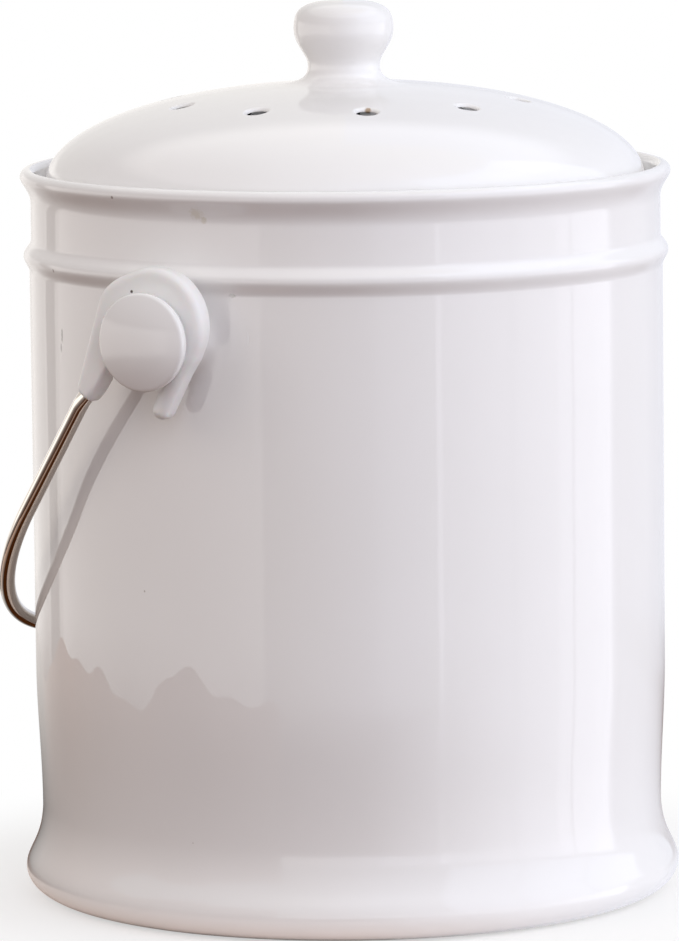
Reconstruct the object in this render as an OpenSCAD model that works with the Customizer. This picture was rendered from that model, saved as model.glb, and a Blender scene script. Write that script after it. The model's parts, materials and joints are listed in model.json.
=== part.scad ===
// Compost caddy for the kitchen worktop: a round glazed stoneware crock with
// a lift-off vented lid, a charcoal filter inside the lid, and a wire bail
// whose two plastic hooks turn on round studs at the sides of the crock.
//
// Millimetres. Z is up and the origin is the middle of the foot. The bail
// turns about a line along X and rests against the wall on the +Y side.

/* [Crock] */
// Outside radius of the straight upper wall
wall_r = 89.8; // [80:0.1:100]
// Thickness of the wall
wall_t = 7.3; // [6:0.1:9]
// Height of the crock, to the crest of its rim
crock_h = 207; // [190:1:240]
// Thickness of the floor, above the recess in the foot
floor_t = 6; // [4:0.5:9]
// Radius of the cove between floor and wall, inside
cove_r = 14; // [6:1:20]
// How far the waist is drawn in from the wall
waist_in = 1.35; // [0.5:0.05:3]
// Height of the waist, just above the foot
waist_z = 25; // [20:1:40]
// Height from which the wall runs straight up
belly_z = 66; // [50:1:110]

/* [Foot] */
// How far the foot stands out past the wall
foot_out = 3.6; // [1.5:0.1:6]
// Height of the widest point of the foot
foot_z = 7.4; // [5:0.1:10]
// Width of the roll between the standing ring and the widest point
foot_roll = 10.4; // [6:0.1:12]
// Width of the standing ring
ring_w = 7; // [4:0.5:10]
// Depth of the recess inside the standing ring
recess_d = 2; // [1:0.25:4]

/* [Rim] */
// Drop from the crest of the rim to the ledge that carries the lid
seat_drop = 6; // [4.5:0.25:9]
// How far the edge of the lid lies over the ledge
seat_w = 2.5; // [1.5:0.1:4]
// Gap around the edge of the lid
lid_gap = 1.5; // [0.5:0.1:3]
// How far the inside of the rim leans out above the ledge
rim_lean = 1.2; // [0.4:0.1:2]
// Radius of the rolled edge of the rim
roll_r = 2.2; // [1.6:0.1:2.8]
// Height of the flare under the rolled edge
flare_h = 10; // [7:0.5:14]
// How far the neck band is set in from the wall
neck_in = 0.6; // [0:0.1:1.5]
// Drop from the crest of the rim to the middle of the bead
bead_drop = 24.5; // [20:0.5:30]
// Height of the bead
bead_h = 9.2; // [6:0.2:12]
// How far the bead stands out past the wall
bead_out = 1.6; // [0.5:0.1:2.4]

/* [Lid] */
// Rise of the dome above its rounded edge
dome_h = 28.3; // [20:0.1:40]
// Fullness of the dome, where 2 is an ellipse
dome_n = 2.1; // [1.8:0.05:3]
// Thickness of the dome at its crown
lid_t = 5.3; // [4:0.1:8]
// Rounding of the lower edge of the lid
edge_r = 1.2; // [0.5:0.1:2]
// Gap between the skirt under the lid and the crock
skirt_gap = 1.2; // [0.6:0.1:2]
// Thickness of the skirt
skirt_t = 4.5; // [3:0.1:6]
// Number of vent holes
vent_count = 10; // [6:1:12]
// Diameter of a vent hole
vent_d = 6; // [3:0.5:9]
// Radius of the ring of vent holes
vent_ring_r = 50; // [35:1:60]
// Angle of the first vent hole from the X axis
vent_turn = 2.5; // [0:0.5:30]

/* [Knob] */
// Height of the knob
knob_h = 23.6; // [18:0.1:32]
// Radius of the head of the knob
knob_r = 14.1; // [12:0.1:18]
// Radius of the neck of the knob
knob_neck_r = 10.2; // [7:0.1:11.5]
// Radius of the flared foot of the knob
knob_foot_r = 16.5; // [13:0.1:20]
// Height of the neck of the knob
knob_neck_h = 5; // [3.5:0.1:7]
// Height of the widest point of the head
knob_wide_h = 15.6; // [12:0.1:17]

/* [Filter] */
// Thickness of the charcoal pad
carbon_t = 6; // [3:0.5:9]
// Thickness of the fleece under it
fleece_t = 2.5; // [1:0.5:4]
// Width of the ledge in the lid that stops the pads
filter_ledge = 2.8; // [1.5:0.1:5]
// Gap between the pads and the skirt
filter_gap = 0.3; // [0.2:0.1:0.8]
// How far the skirt reaches below the pads
skirt_past = 1.5; // [0:0.25:4]

/* [Studs] */
// Drop from the crest of the rim to the axis of the studs
stud_drop = 40.3; // [38:0.1:60]
// Radius of the flared boss at the wall
boss_r = 16.5; // [13:0.1:20]
// Radius of the neck that the hook turns on
stud_neck_r = 9; // [7:0.1:10]
// Radius of the button head
head_r = 13.5; // [12:0.1:16]
// Thickness of the button head at its middle
head_t = 7.6; // [6:0.1:9]
// Height of the crown of the button head
head_crown = 1.9; // [1:0.1:3]

/* [Hooks] */
// Thickness of a hook, along the axis of the studs
hook_t = 7; // [6:0.1:9]
// Gap between the rim of the crock and the inner face of a hook
rim_gap = 2.9; // [2:0.1:5]
// Running gap between a hook and the stud, all round
pivot_gap = 0.3; // [0.2:0.05:0.6]
// Side gap between a hook and the boss, and the head
side_gap = 0.4; // [0.2:0.05:0.8]
// Width of the eye round its bore, where the bore is midway
eye_t = 6.4; // [5:0.1:8]
// How far the eye is set off the bore towards the long arm
eye_shift = 2.7; // [1:0.1:4]
// How far the eye is set off the bore away from the bow
eye_back = 3.3; // [2:0.1:4]
// Length of the short leg
leg_l = 17; // [13:0.1:20]
// How much thinner the legs are than the eye, at each side
leg_thin = 0.3; // [0.1:0.1:0.6]
// Angle at which the short leg spreads
leg_angle = 14; // [5:0.5:25]
// Reach of the long arm, to the middle of its round end
arm_l = 24; // [22:0.1:30]
// How far the mouth of the hook stops short of its bore
snap = 0.5; // [0.2:0.1:1]
// Direction of the mouth's edge on the side of the long arm
throat_angle = 49; // [40:1:60]
// How far the root of the long arm swells out past the eye
arm_swell = 3; // [1:0.1:4]
// Direction of the swelling from the middle of the eye
arm_angle = 66; // [55:1:75]

/* [Bail] */
// Diameter of the wire
wire_d = 4.5; // [3.5:0.1:5.5]
// Gap between the knob and the wire when the bail stands upright
hand_gap = 44; // [35:0.1:60]
// How much narrower the bow is than the hooks, at each side
bow_in = 10; // [8:0.1:16]
// Offset of the wire from the axis of the studs
bail_off = 7; // [6:0.1:8.5]
// Radius of the bend where the wire leaves a hook
bend_r = 14; // [8:0.5:18]
// Radius of the bend of the wire inside a hook
tuck_r = 8; // [5:0.5:10]
// Length of the straight end of the wire inside a hook
grip_l = 10; // [6:0.5:12]
// Clearance round the wire in its socket
socket_gap = 0.05; // [0.02:0.01:0.1]
// Gap between the wire and the wall at rest
rest_gap = 0.3; // [0.2:0.05:0.6]

/* [Hidden] */

$fn = 96;
curve_n = 12;     // pieces in a curve of a profile
hull_fn = 28;     // sides of a leg and of the arm of a hook
eye_fn = 48;      // sides of the eye of a hook
round_n = 3;      // pieces in the rounding of a hook's edges
wire_sides = 16;  // sides of the wire
bend_n = 5;       // pieces in a small bend of the wire
bow_n = 30;       // pieces in the bow
cut = 1;          // how far a cutting shape runs past the face that it cuts

glaze = [0.93, 0.92, 0.92];
plastic = [0.90, 0.89, 0.91];
steel = [0.55, 0.50, 0.47];
charcoal = [0.12, 0.12, 0.12];
fleece = [0.55, 0.56, 0.55];

// Crock, from the ring it stands on up to the roll of its rim
foot_r = wall_r + foot_out;
ring_r = foot_r - foot_roll;
waist_r = wall_r - waist_in;
inner_r = wall_r - wall_t;
floor_z = recess_d + floor_t;
bead_z = crock_h - bead_drop;
bead_r = wall_r + bead_out;
neck_r = wall_r - neck_in;
seat_z = crock_h - seat_drop;
lid_r = inner_r + seat_w;
recess_r = lid_r + lid_gap;
roll_c = [recess_r + rim_lean + roll_r, crock_h - roll_r];
rim_r = roll_c.x + roll_r;
roll_start = -25;                       // angle at which the flare meets the roll
bead_foot_z = bead_z - bead_h / 2;
bead_top_z = bead_z + bead_h / 2;
inner_round = 1;                        // rounding of the ledge's inner corner

// Lid and knob
dome_z = seat_z + edge_r;
dome_top = dome_z + dome_h;
crown_z = dome_z + dome_h * pow(1 - pow(knob_foot_r / lid_r, dome_n), 1 / dome_n);
crown_a = acos(pow(knob_foot_r / lid_r, dome_n / 2));
skirt_r = inner_r - skirt_gap;
skirt_in = skirt_r - skirt_t;
skirt_z = seat_z - carbon_t - fleece_t - skirt_past;
skirt_round = 1;                        // rounding of the skirt's lower corners
hollow_r = skirt_in - filter_ledge;
hollow_h = dome_top - lid_t - seat_z;
filter_r = skirt_in - filter_gap;
knob_top = crown_z + knob_h;

// Studs and hooks, measured out from the axis of the crock
stud_z = crock_h - stud_drop;
hook_in = rim_r + rim_gap;
hook_mid = hook_in + hook_t / 2;
hook_out = hook_in + hook_t;
boss_side = sqrt(wall_r * wall_r - boss_r * boss_r);  // where the wall passes the boss's edge
boss_sink = 0.5;                        // how deep the edge of the boss starts in the wall
boss_root = boss_side - boss_sink - cut;
boss_end = hook_in - side_gap;
head_back = hook_out + side_gap;
head_front = head_back + head_t;
head_band = 1.5;                        // straight band round the head
head_edge = head_front - head_crown - head_band;
head_round = 0.25 * head_r;             // how far in the rounded back of the head starts

// Outline of a hook: x runs from the stud along the bail, y across it
hook_bore_r = stud_neck_r + pivot_gap;
hook_round = 0.4 * hook_t;              // rounding of the hook's edges
eye_r = hook_bore_r + eye_t;
eye_c = [-eye_back, eye_shift];
leg_r = hook_t / 2 - leg_thin;
leg_c = [eye_c.x, eye_c.y - eye_r + leg_r];
arm_root_r = 0.6 * eye_r;
arm_root = eye_c + (eye_r - arm_root_r + arm_swell) * [cos(arm_angle), sin(arm_angle)];
arm_end = [arm_l, bail_off];
nip_back = 5.5;                         // from the narrowest point of the long arm to its end
arm_nip = arm_end - [nip_back, 0.65 * leg_r];
arm_tilt = atan((arm_root.y - arm_end.y) / (arm_end.x - arm_root.x));
throat = (hook_bore_r - 2 * snap) * [cos(throat_angle), sin(throat_angle)];

// Bail: the wire runs straight out of a hook, bends in, and meets a round bow
wire_r = wire_d / 2;
reach = knob_top + hand_gap + wire_r - stud_z;
bow_r = hook_mid - bow_in;
bow_c = reach - bow_r;
wire_out = 0.5;                         // how far the wire runs out of a hook before its bend
bend_c = [hook_mid - bend_r, arm_l + leg_r + wire_out];
splay = acos((bow_r - bend_r) / norm([bend_c.x, bow_c - bend_c.y]))
        - atan((bow_c - bend_c.y) / bend_c.x);

// Resting, the middle of the bow leans on the wall
rest_angle = acos((wall_r + wire_r + rest_gap) / norm([reach, bail_off]))
             + atan(bail_off / reach);

// Cubic curve between two points, with a handle for each
function bend(p, q, r, s, n = curve_n) =
    [for (i = [0 : n]) let (t = i / n, u = 1 - t)
        u * u * u * p + 3 * u * u * t * q + 3 * u * t * t * r + t * t * t * s];

// Smooth step between two points that leaves and arrives upright
function ease(p, q, n = curve_n) =
    [for (i = [0 : n]) let (t = i / n, s = (1 - cos(180 * t)) / 2)
        [p.x + (q.x - p.x) * s, p.y + (q.y - p.y) * t]];

// Elliptical arc about a point, with its two half widths
function arc(c, rx, ry, from, to, n = curve_n) =
    [for (i = [0 : n]) let (a = from + (to - from) * i / n)
        [c.x + rx * cos(a), c.y + ry * sin(a)]];

// Dome curve with the fullness dome_n, in angles from the edge up
function dome(rx, ry, z, from, to, n = 2 * curve_n) =
    [for (i = [0 : n]) let (a = from + (to - from) * i / n)
        [rx * pow(cos(a), 2 / dome_n), z + ry * pow(sin(a), 2 / dome_n)]];

// Outside of the crock from its standing ring to the inner side of the roll
function crock_outside() = let (
    roll_p = roll_c + roll_r * [cos(roll_start), sin(roll_start)],
    roll_d = [-sin(roll_start), cos(roll_start)])
    concat(
        arc([ring_r, foot_z], foot_roll, foot_z, -90, 0),
        bend([foot_r, foot_z], [foot_r, foot_z + 0.23 * (waist_z - foot_z)],
             [waist_r + 0.1 * foot_out, foot_z + 0.4 * (waist_z - foot_z)], [waist_r, waist_z]),
        bend([waist_r, waist_z], [waist_r, waist_z + 0.35 * (belly_z - waist_z)],
             [wall_r, belly_z - 0.35 * (belly_z - waist_z)], [wall_r, belly_z]),
        ease([wall_r, bead_foot_z], [bead_r, bead_z]),
        ease([bead_r, bead_z], [neck_r, bead_top_z]),
        bend([neck_r, crock_h - flare_h], [neck_r, crock_h - 0.65 * flare_h],
             roll_p - 0.2 * flare_h * roll_d, roll_p),
        arc(roll_c, roll_r, roll_r, roll_start, 180));

// The crock as a solid block, without its hollow
module crock_block() {
    rotate_extrude()
        polygon(concat(crock_outside(), [[0, roll_c.y], [0, 0]]));
}

module crock() {
    color(glaze)
        rotate_extrude()
            polygon(concat(
                crock_outside(),
                [[recess_r, seat_z]],
                arc([inner_r + inner_round, seat_z - inner_round],
                    inner_round, inner_round, 90, 180, 4),
                arc([inner_r - cove_r, floor_z + cove_r], cove_r, cove_r, 0, -90),
                [[0, floor_z], [0, recess_d], [ring_r - ring_w, recess_d],
                 [ring_r - ring_w, 0]]));
}

// Stud with a flared boss, a neck and a button head, at one end of the bail's axis
module stud(side) {
    difference() {
        translate([0, 0, stud_z])
            rotate([0, 90 * side, 0])
                rotate_extrude()
                    polygon(concat(
                        [[0, boss_root], [boss_r, boss_root]],
                        bend([boss_r, boss_side - boss_sink],
                             [0.72 * boss_r, boss_side + boss_sink],
                             [1.07 * stud_neck_r, boss_end - 0.55 * (boss_end - wall_r)],
                             [stud_neck_r, boss_end]),
                        [[stud_neck_r, head_back]],
                        arc([head_r - head_round, head_edge],
                            head_round, head_edge - head_back, -90, 0, 6),
                        bend([head_r, head_edge + head_band],
                             [head_r, head_front - 0.4 * head_crown],
                             [0.7 * head_r, head_front], [0, head_front])));
        crock_block();
    }
}

module front_stud() {
    color(glaze)
        stud(-1);
}

module rear_stud() {
    color(glaze)
        stud(1);
}

module lid() {
    color(glaze)
        difference() {
            rotate_extrude()
                polygon(concat(
                    [[skirt_r, seat_z]],
                    arc([lid_r - edge_r, dome_z], edge_r, edge_r, -90, 0, 6),
                    dome(lid_r, dome_h, dome_z, 0, crown_a),
                    [[0, crown_z]],
                    dome(hollow_r, hollow_h, seat_z, 90, 0),
                    [[skirt_in, seat_z]],
                    arc([skirt_in + skirt_round, skirt_z + skirt_round],
                        skirt_round, skirt_round, 180, 270, 4),
                    arc([skirt_r - skirt_round, skirt_z + skirt_round],
                        skirt_round, skirt_round, -90, 0, 4)));
            for (i = [0 : vent_count - 1])
                rotate(vent_turn + i * 360 / vent_count)
                    translate([vent_ring_r, 0, seat_z + cut])
                        cylinder(d = vent_d, h = dome_h + cut);
        }
}

module lid_knob() {
    color(glaze)
        translate([0, 0, crown_z])
            rotate_extrude()
                polygon(concat(
                    [[0, 0]],
                    bend([knob_foot_r, 0], [0.7 * knob_foot_r, 0.08 * knob_neck_h],
                         [knob_neck_r, 0.44 * knob_neck_h], [knob_neck_r, knob_neck_h]),
                    bend([knob_neck_r, knob_neck_h],
                         [knob_neck_r, knob_neck_h + 0.33 * (knob_wide_h - knob_neck_h)],
                         [knob_r, knob_neck_h + 0.52 * (knob_wide_h - knob_neck_h)],
                         [knob_r, knob_wide_h]),
                    bend([knob_r, knob_wide_h],
                         [knob_r, knob_wide_h + 0.62 * (knob_h - knob_wide_h)],
                         [0.88 * knob_r, knob_h], [0, knob_h])));
}

module filter_carbon_pad() {
    color(charcoal)
        translate([0, 0, seat_z - carbon_t])
            cylinder(r = filter_r, h = carbon_t);
}

module filter_fleece() {
    color(fleece)
        translate([0, 0, seat_z - carbon_t - fleece_t])
            cylinder(r = filter_r, h = fleece_t);
}

// Sets the bail's own frame at rest: x along the studs, y along the bail, z across it
module at_rest() {
    translate([0, 0, stud_z])
        rotate([-rest_angle, 0, 0])
            children();
}

// Middle line of the end of the wire that the hook on +X grips: inside the long
// arm it turns along the arm
function grip_line() = concat(
    [[hook_mid, arm_l - tuck_r * sin(arm_tilt) - grip_l * cos(arm_tilt),
      bail_off + tuck_r * (1 - cos(arm_tilt)) + grip_l * sin(arm_tilt)]],
    [for (i = [0 : bend_n]) let (a = arm_tilt * (1 - i / bend_n))
        [hook_mid, arm_l - tuck_r * sin(a), bail_off + tuck_r * (1 - cos(a))]]);

// Middle line of the bend just outside the hook on +X
function bend_line() =
    [for (i = [0 : bend_n]) let (a = splay * i / bend_n)
        [bend_c.x + bend_r * cos(a), bend_c.y + bend_r * sin(a), bail_off]];

function bow_line() =
    [for (i = [0 : bow_n]) let (a = splay + (180 - 2 * splay) * i / bow_n)
        [bow_r * cos(a), bow_c + bow_r * sin(a), bail_off]];

function unit(v) = v / norm(v);

// Round bar about a line of points that never runs upright
module bar(line, r, sides) {
    last = len(line) - 1;
    points = [for (i = [0 : last])
        let (
            before = unit(line[max(i, 1)] - line[max(i, 1) - 1]),
            after = unit(line[min(i, last - 1) + 1] - line[min(i, last - 1)]),
            along = unit(before + after),
            side = unit(cross([0, 0, 1], along)),
            up = cross(along, side))
        for (k = [0 : sides - 1])
            line[i] + r * (cos(360 * k / sides) * side + sin(360 * k / sides) * up)];
    polyhedron(points, concat(
        [[for (k = [0 : sides - 1]) k]],
        [for (i = [0 : last - 1]) for (k = [0 : sides - 1])
            let (a = i * sides + k, b = i * sides + (k + 1) % sides)
            [a, a + sides, b + sides, b]],
        [[for (k = [sides - 1 : -1 : 0]) last * sides + k]]));
}

module bail_wire() {
    side = concat(grip_line(), bend_line());
    far_side = [for (i = [len(side) - 1 : -1 : 0]) [-side[i].x, side[i].y, side[i].z]];
    color(steel)
        at_rest()
            bar(concat(side, bow_line(), far_side), wire_r, wire_sides);
}

// Round disc with rounded edges, lying in the plane of a hook
module disc(r, sides) {
    flat = hook_t / 2 - hook_round;
    rotate_extrude($fn = sides)
        polygon(concat(
            [[0, -hook_t / 2]],
            arc([r - hook_round, -flat], hook_round, hook_round, -90, 0, round_n),
            arc([r - hook_round, flat], hook_round, hook_round, 0, 90, round_n),
            [[0, hook_t / 2]]));
}

// Outside of a hook: the eye, the short leg with its round end, and the long arm.
// x runs along the bail here, y across it and z along the studs.
module hook_body() {
    hull()
        translate(eye_c)
            disc(eye_r, eye_fn);
    hull()
        translate(leg_c)
            rotate([0, 90, -leg_angle])
                rotate_extrude($fn = hull_fn)
                    polygon(concat([[0, 0], [leg_r, 0]],
                                   arc([0, leg_l], leg_r, leg_r, 0, 90, 2 * round_n)));
    hull() {
        translate(arm_root)
            disc(arm_root_r, hull_fn);
        translate(arm_end)
            sphere(leg_r, $fn = hull_fn);
    }
}

// Mouth of a hook: it stops a little short of the bore on both sides, so that
// the hook has to be pushed over the neck of the stud and stays on it
module hook_mouth() {
    low = snap - hook_bore_r;
    translate([0, 0, -hook_t / 2 - cut])
        linear_extrude(hook_t + 2 * cut)
            polygon([[0, 0], throat, arm_nip, arm_end - [0.75 * leg_r, leg_r],
                     [arm_l + leg_r, 0], [arm_l + leg_r, low], [0, low]]);
}

// Hook about the stud's axis, with the bore that turns on the stud and the
// socket for the wire
module hook() {
    difference() {
        rotate([90, 0, 90])
            difference() {
                hook_body();
                cylinder(r = hook_bore_r, h = hook_t + 2 * cut, center = true);
                hook_mouth();
            }
        translate([-hook_mid, 0, 0])
            bar(concat(grip_line(), [[hook_mid, bend_c.y + cut, bail_off]]),
                wire_r + socket_gap, wire_sides);
    }
}

module front_hook() {
    color(plastic)
        at_rest()
            translate([-hook_mid, 0, 0])
                hook();
}

module rear_hook() {
    color(plastic)
        at_rest()
            translate([hook_mid, 0, 0])
                hook();
}

crock();
front_stud();
rear_stud();
lid();
lid_knob();
filter_carbon_pad();
filter_fleece();
bail_wire();
front_hook();
rear_hook();
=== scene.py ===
# %% [markdown]
# # A stoneware compost caddy
#
# A compost caddy is a lidded crock for kitchen scraps. This one is cast in stoneware and
# covered in a thick white gloss glaze. A domed lid with a ring of vents sits inside the
# flared rim, a charcoal pad hides in the lid, and a wire bail with two plastic hooks swings
# on studs at the sides.
#
# The construction model gives the sizes, the joints and the place of every part. This script
# dresses it: it makes a smooth surface for each part in the place of its plain solid.

# %% Load the frame
import json
from math import acos, atan, atan2, cos, hypot, pi, radians, sin, sqrt

import bpy
import numpy as np
from mathutils import Matrix, Vector


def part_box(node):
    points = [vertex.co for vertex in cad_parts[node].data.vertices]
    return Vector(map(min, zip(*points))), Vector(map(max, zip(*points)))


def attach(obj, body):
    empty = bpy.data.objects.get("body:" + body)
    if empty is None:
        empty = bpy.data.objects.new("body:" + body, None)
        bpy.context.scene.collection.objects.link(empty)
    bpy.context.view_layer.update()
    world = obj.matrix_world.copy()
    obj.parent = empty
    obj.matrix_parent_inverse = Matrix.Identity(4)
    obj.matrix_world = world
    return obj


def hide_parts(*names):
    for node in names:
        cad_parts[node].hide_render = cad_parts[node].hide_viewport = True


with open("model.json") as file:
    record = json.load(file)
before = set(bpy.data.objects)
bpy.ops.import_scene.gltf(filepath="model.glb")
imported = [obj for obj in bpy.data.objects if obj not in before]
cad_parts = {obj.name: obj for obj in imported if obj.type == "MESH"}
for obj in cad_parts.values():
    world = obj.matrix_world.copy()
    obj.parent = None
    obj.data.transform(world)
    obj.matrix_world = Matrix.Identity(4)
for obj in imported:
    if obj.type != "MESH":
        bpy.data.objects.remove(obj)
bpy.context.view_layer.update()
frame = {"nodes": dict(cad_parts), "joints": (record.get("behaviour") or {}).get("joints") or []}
MM = 0.001
print("frame:", sorted(frame["nodes"]))

# %% [markdown]
# ## Sizes
#
# Everything below is written in millimetres and made metres at the last moment, when a mesh
# is built. The outer sizes are read from the frame, so a piece can't drift away from its
# solid. The finer ones, such as the radius of a roll, are named beside them.


# %% Sizes read from the frame
def reach(node, corner, axis):
    """A side of a node's box in millimetres: corner 0 is the low one and 1 the high one."""
    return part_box(node)[corner][axis] / MM


crock_h = reach("crock", 1, 2)
foot_r = reach("crock", 1, 0)
lid_r = reach("lid", 1, 0)
skirt_z = reach("lid", 0, 2)
crown_z = reach("lid_knob", 0, 2)
knob_top = reach("lid_knob", 1, 2)
knob_foot_r = reach("lid_knob", 1, 0)
head_front = reach("rear_stud", 1, 0)
pad_r = reach("filter_carbon_pad", 1, 0)
pad_low, pad_high = reach("filter_carbon_pad", 0, 2), reach("filter_carbon_pad", 1, 2)
fleece_low = reach("filter_fleece", 0, 2)
hook_in, hook_out = reach("rear_hook", 0, 0), reach("rear_hook", 1, 0)
hook_mid = (hook_in + hook_out) / 2
hook_t = hook_out - hook_in
joints = {joint["name"]: joint for joint in frame["joints"]}
stud_z = joints["bail_swing"]["pos_m"][2] / MM
print(f"crock {crock_h:.1f} high, foot {foot_r:.1f}, lid {lid_r:.1f}, knob top {knob_top:.1f}")

# %% Finer sizes of the crock
foot_z = 7.4
foot_roll = 10.4
ring_w = 7.0
recess_d = 2.0
wall_r = foot_r - 3.6
inner_r = wall_r - 7.3
waist_r, waist_z = wall_r - 1.35, 25.0
belly_z = 66.0
floor_z = recess_d + 6.0
cove_r = 14.0
seat_z = crock_h - 6.0
recess_r = lid_r + 1.5
roll_r = 2.2
roll_c = (recess_r + 1.2 + roll_r, crock_h - roll_r)
flare_h = 10.0
bead_z = crock_h - 24.5
bead_h = 9.2
bead_r = wall_r + 1.6
neck_r = wall_r - 0.6
ring_r = foot_r - foot_roll
print(f"ring {ring_r:.1f}, wall {wall_r:.1f}, inside {inner_r:.1f}, rim {roll_c[0] + roll_r:.1f}")

# %% [markdown]
# ## Outlines
#
# A potter's outline is a chain of a few simple curves. Four kinds are enough here: a cubic
# bend between two points, a smooth step, an arc, and the full dome of the lid, which is a
# superellipse. Each is a function that returns points, and an outline joins them up.


# %% Curves
def bend(p, q, r, s, steps=24):
    """Cubic curve from p to s with the handles q and r."""
    t = np.linspace(0, 1, steps + 1)[:, None]
    p, q, r, s = (np.array(v, float) for v in (p, q, r, s))
    return (1 - t) ** 3 * p + 3 * (1 - t) ** 2 * t * q + 3 * (1 - t) * t * t * r + t ** 3 * s


def ease(p, q, steps=20):
    """Smooth step from p to q that leaves and arrives upright."""
    t = np.linspace(0, 1, steps + 1)
    s = (1 - np.cos(pi * t)) / 2
    return np.column_stack([p[0] + (q[0] - p[0]) * s, p[1] + (q[1] - p[1]) * t])


def arc(centre, rx, ry, start, end, steps=16):
    """Elliptical arc, with its angles in degrees."""
    a = np.radians(np.linspace(start, end, steps + 1))
    return np.column_stack([centre[0] + rx * np.cos(a), centre[1] + ry * np.sin(a)])


def line(p, q, steps):
    """Points from p to q, without p itself."""
    t = np.linspace(0, 1, steps + 1)[1:, None]
    return np.array(p, float) * (1 - t) + np.array(q, float) * t


def joined(*runs):
    """One outline from several runs of points, with doubled points dropped."""
    points = np.vstack([np.atleast_2d(np.array(run, float)) for run in runs])
    step = np.linalg.norm(np.diff(points, axis=0), axis=1)
    return points[np.concatenate([[True], step > 1e-4])]


# %% Outside of the crock
roll_start = -25
roll_p = np.array(roll_c) + roll_r * np.array([cos(radians(roll_start)), sin(radians(roll_start))])
roll_d = np.array([-sin(radians(roll_start)), cos(radians(roll_start))])
step_1, step_2 = 0.23 * (waist_z - foot_z), 0.4 * (waist_z - foot_z)
rise = belly_z - waist_z

outside = joined(
    arc((ring_r, foot_z), foot_roll, foot_z, -90, 0, 24),
    bend((foot_r, foot_z), (foot_r, foot_z + step_1),
         (waist_r + 0.1 * (foot_r - wall_r), foot_z + step_2), (waist_r, waist_z)),
    bend((waist_r, waist_z), (waist_r, waist_z + 0.35 * rise),
         (wall_r, belly_z - 0.35 * rise), (wall_r, belly_z)),
    line((wall_r, belly_z), (wall_r, bead_z - bead_h / 2), 24),
    ease((wall_r, bead_z - bead_h / 2), (bead_r, bead_z)),
    ease((bead_r, bead_z), (neck_r, bead_z + bead_h / 2)),
    bend((neck_r, crock_h - flare_h), (neck_r, crock_h - 0.65 * flare_h),
         roll_p - 0.2 * flare_h * roll_d, roll_p),
    arc(roll_c, roll_r, roll_r, roll_start, 180, 28))
print("outside of the crock:", len(outside), "points")

# %% Whole outline of the crock
soft = 0.8          # glaze rounds every corner of the clay by about this much
ring_in = ring_r - ring_w
crock_outline = joined(
    line((0, recess_d), (ring_in - soft, recess_d), 10),
    bend((ring_in - soft, recess_d), (ring_in, recess_d), (ring_in, recess_d),
         (ring_in + 0.2, recess_d / 2), 6),
    bend((ring_in + 0.2, recess_d / 2), (ring_in + 0.3, 0), (ring_in + 0.3, 0),
         (ring_in + 0.3 + soft, 0), 6),
    line((ring_in + 0.3 + soft, 0), (ring_r, 0), 5),
    outside,
    bend((recess_r + 0.3, seat_z + soft + 0.4), (recess_r, seat_z), (recess_r, seat_z),
         (recess_r - soft, seat_z), 6),
    line((recess_r - soft, seat_z), (inner_r + soft, seat_z), 4),
    arc((inner_r + soft, seat_z - soft), soft, soft, 90, 180, 8),
    line((inner_r, seat_z - soft), (inner_r, floor_z + cove_r), 24),
    arc((inner_r - cove_r, floor_z + cove_r), cove_r, cove_r, 0, -90, 20),
    line((inner_r - cove_r, floor_z), (0, floor_z), 10))
print("outline of the crock:", len(crock_outline), "points")

# %% [markdown]
# ## A lathe made of Geometry Nodes
#
# The crock, the studs and the pads are all turned: one outline goes round an axis. The tree
# below is a small lathe. It lays out a grid with one row for each point of the outline and
# one column for each step of the turn, then moves every grid point to its outline point,
# turned by its share of the circle. Merging by distance closes the seam and the poles.


# %% One helper for every node
def add(tree, kind, inputs=None, **settings):
    """Adds a node, sets its properties, and fills or links its inputs by name or number.

    A node that is given for an input is linked by its first output.
    """
    made = tree.nodes.new(kind)
    for name, value in settings.items():
        setattr(made, name, value)
    for name, value in (inputs or {}).items():
        if isinstance(value, bpy.types.Node):
            value = value.outputs[0]
        if isinstance(value, bpy.types.NodeSocket):
            tree.links.new(value, made.inputs[name])
        else:
            made.inputs[name].default_value = value
    return made


def new_tree(name, **inputs):
    """Geometry tree with a mesh in, a mesh out and named inputs, given as socket types."""
    tree = bpy.data.node_groups.new(name, "GeometryNodeTree")
    tree.interface.new_socket("Geometry", in_out="INPUT", socket_type="NodeSocketGeometry")
    tree.interface.new_socket("Geometry", in_out="OUTPUT", socket_type="NodeSocketGeometry")
    for title, socket_type in inputs.items():
        tree.interface.new_socket(title, in_out="INPUT", socket_type=socket_type)
    return tree, add(tree, "NodeGroupInput").outputs


def end_tree(tree, geometry, material):
    """Realizes what the tree made, gives it its material and sends it out."""
    solid = add(tree, "GeometryNodeRealizeInstances", {"Geometry": geometry})
    painted = add(tree, "GeometryNodeSetMaterial", {"Geometry": solid, "Material": material})
    add(tree, "NodeGroupOutput", {"Geometry": painted})
    print(f"{tree.name}: {len(tree.nodes)} nodes")


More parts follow.
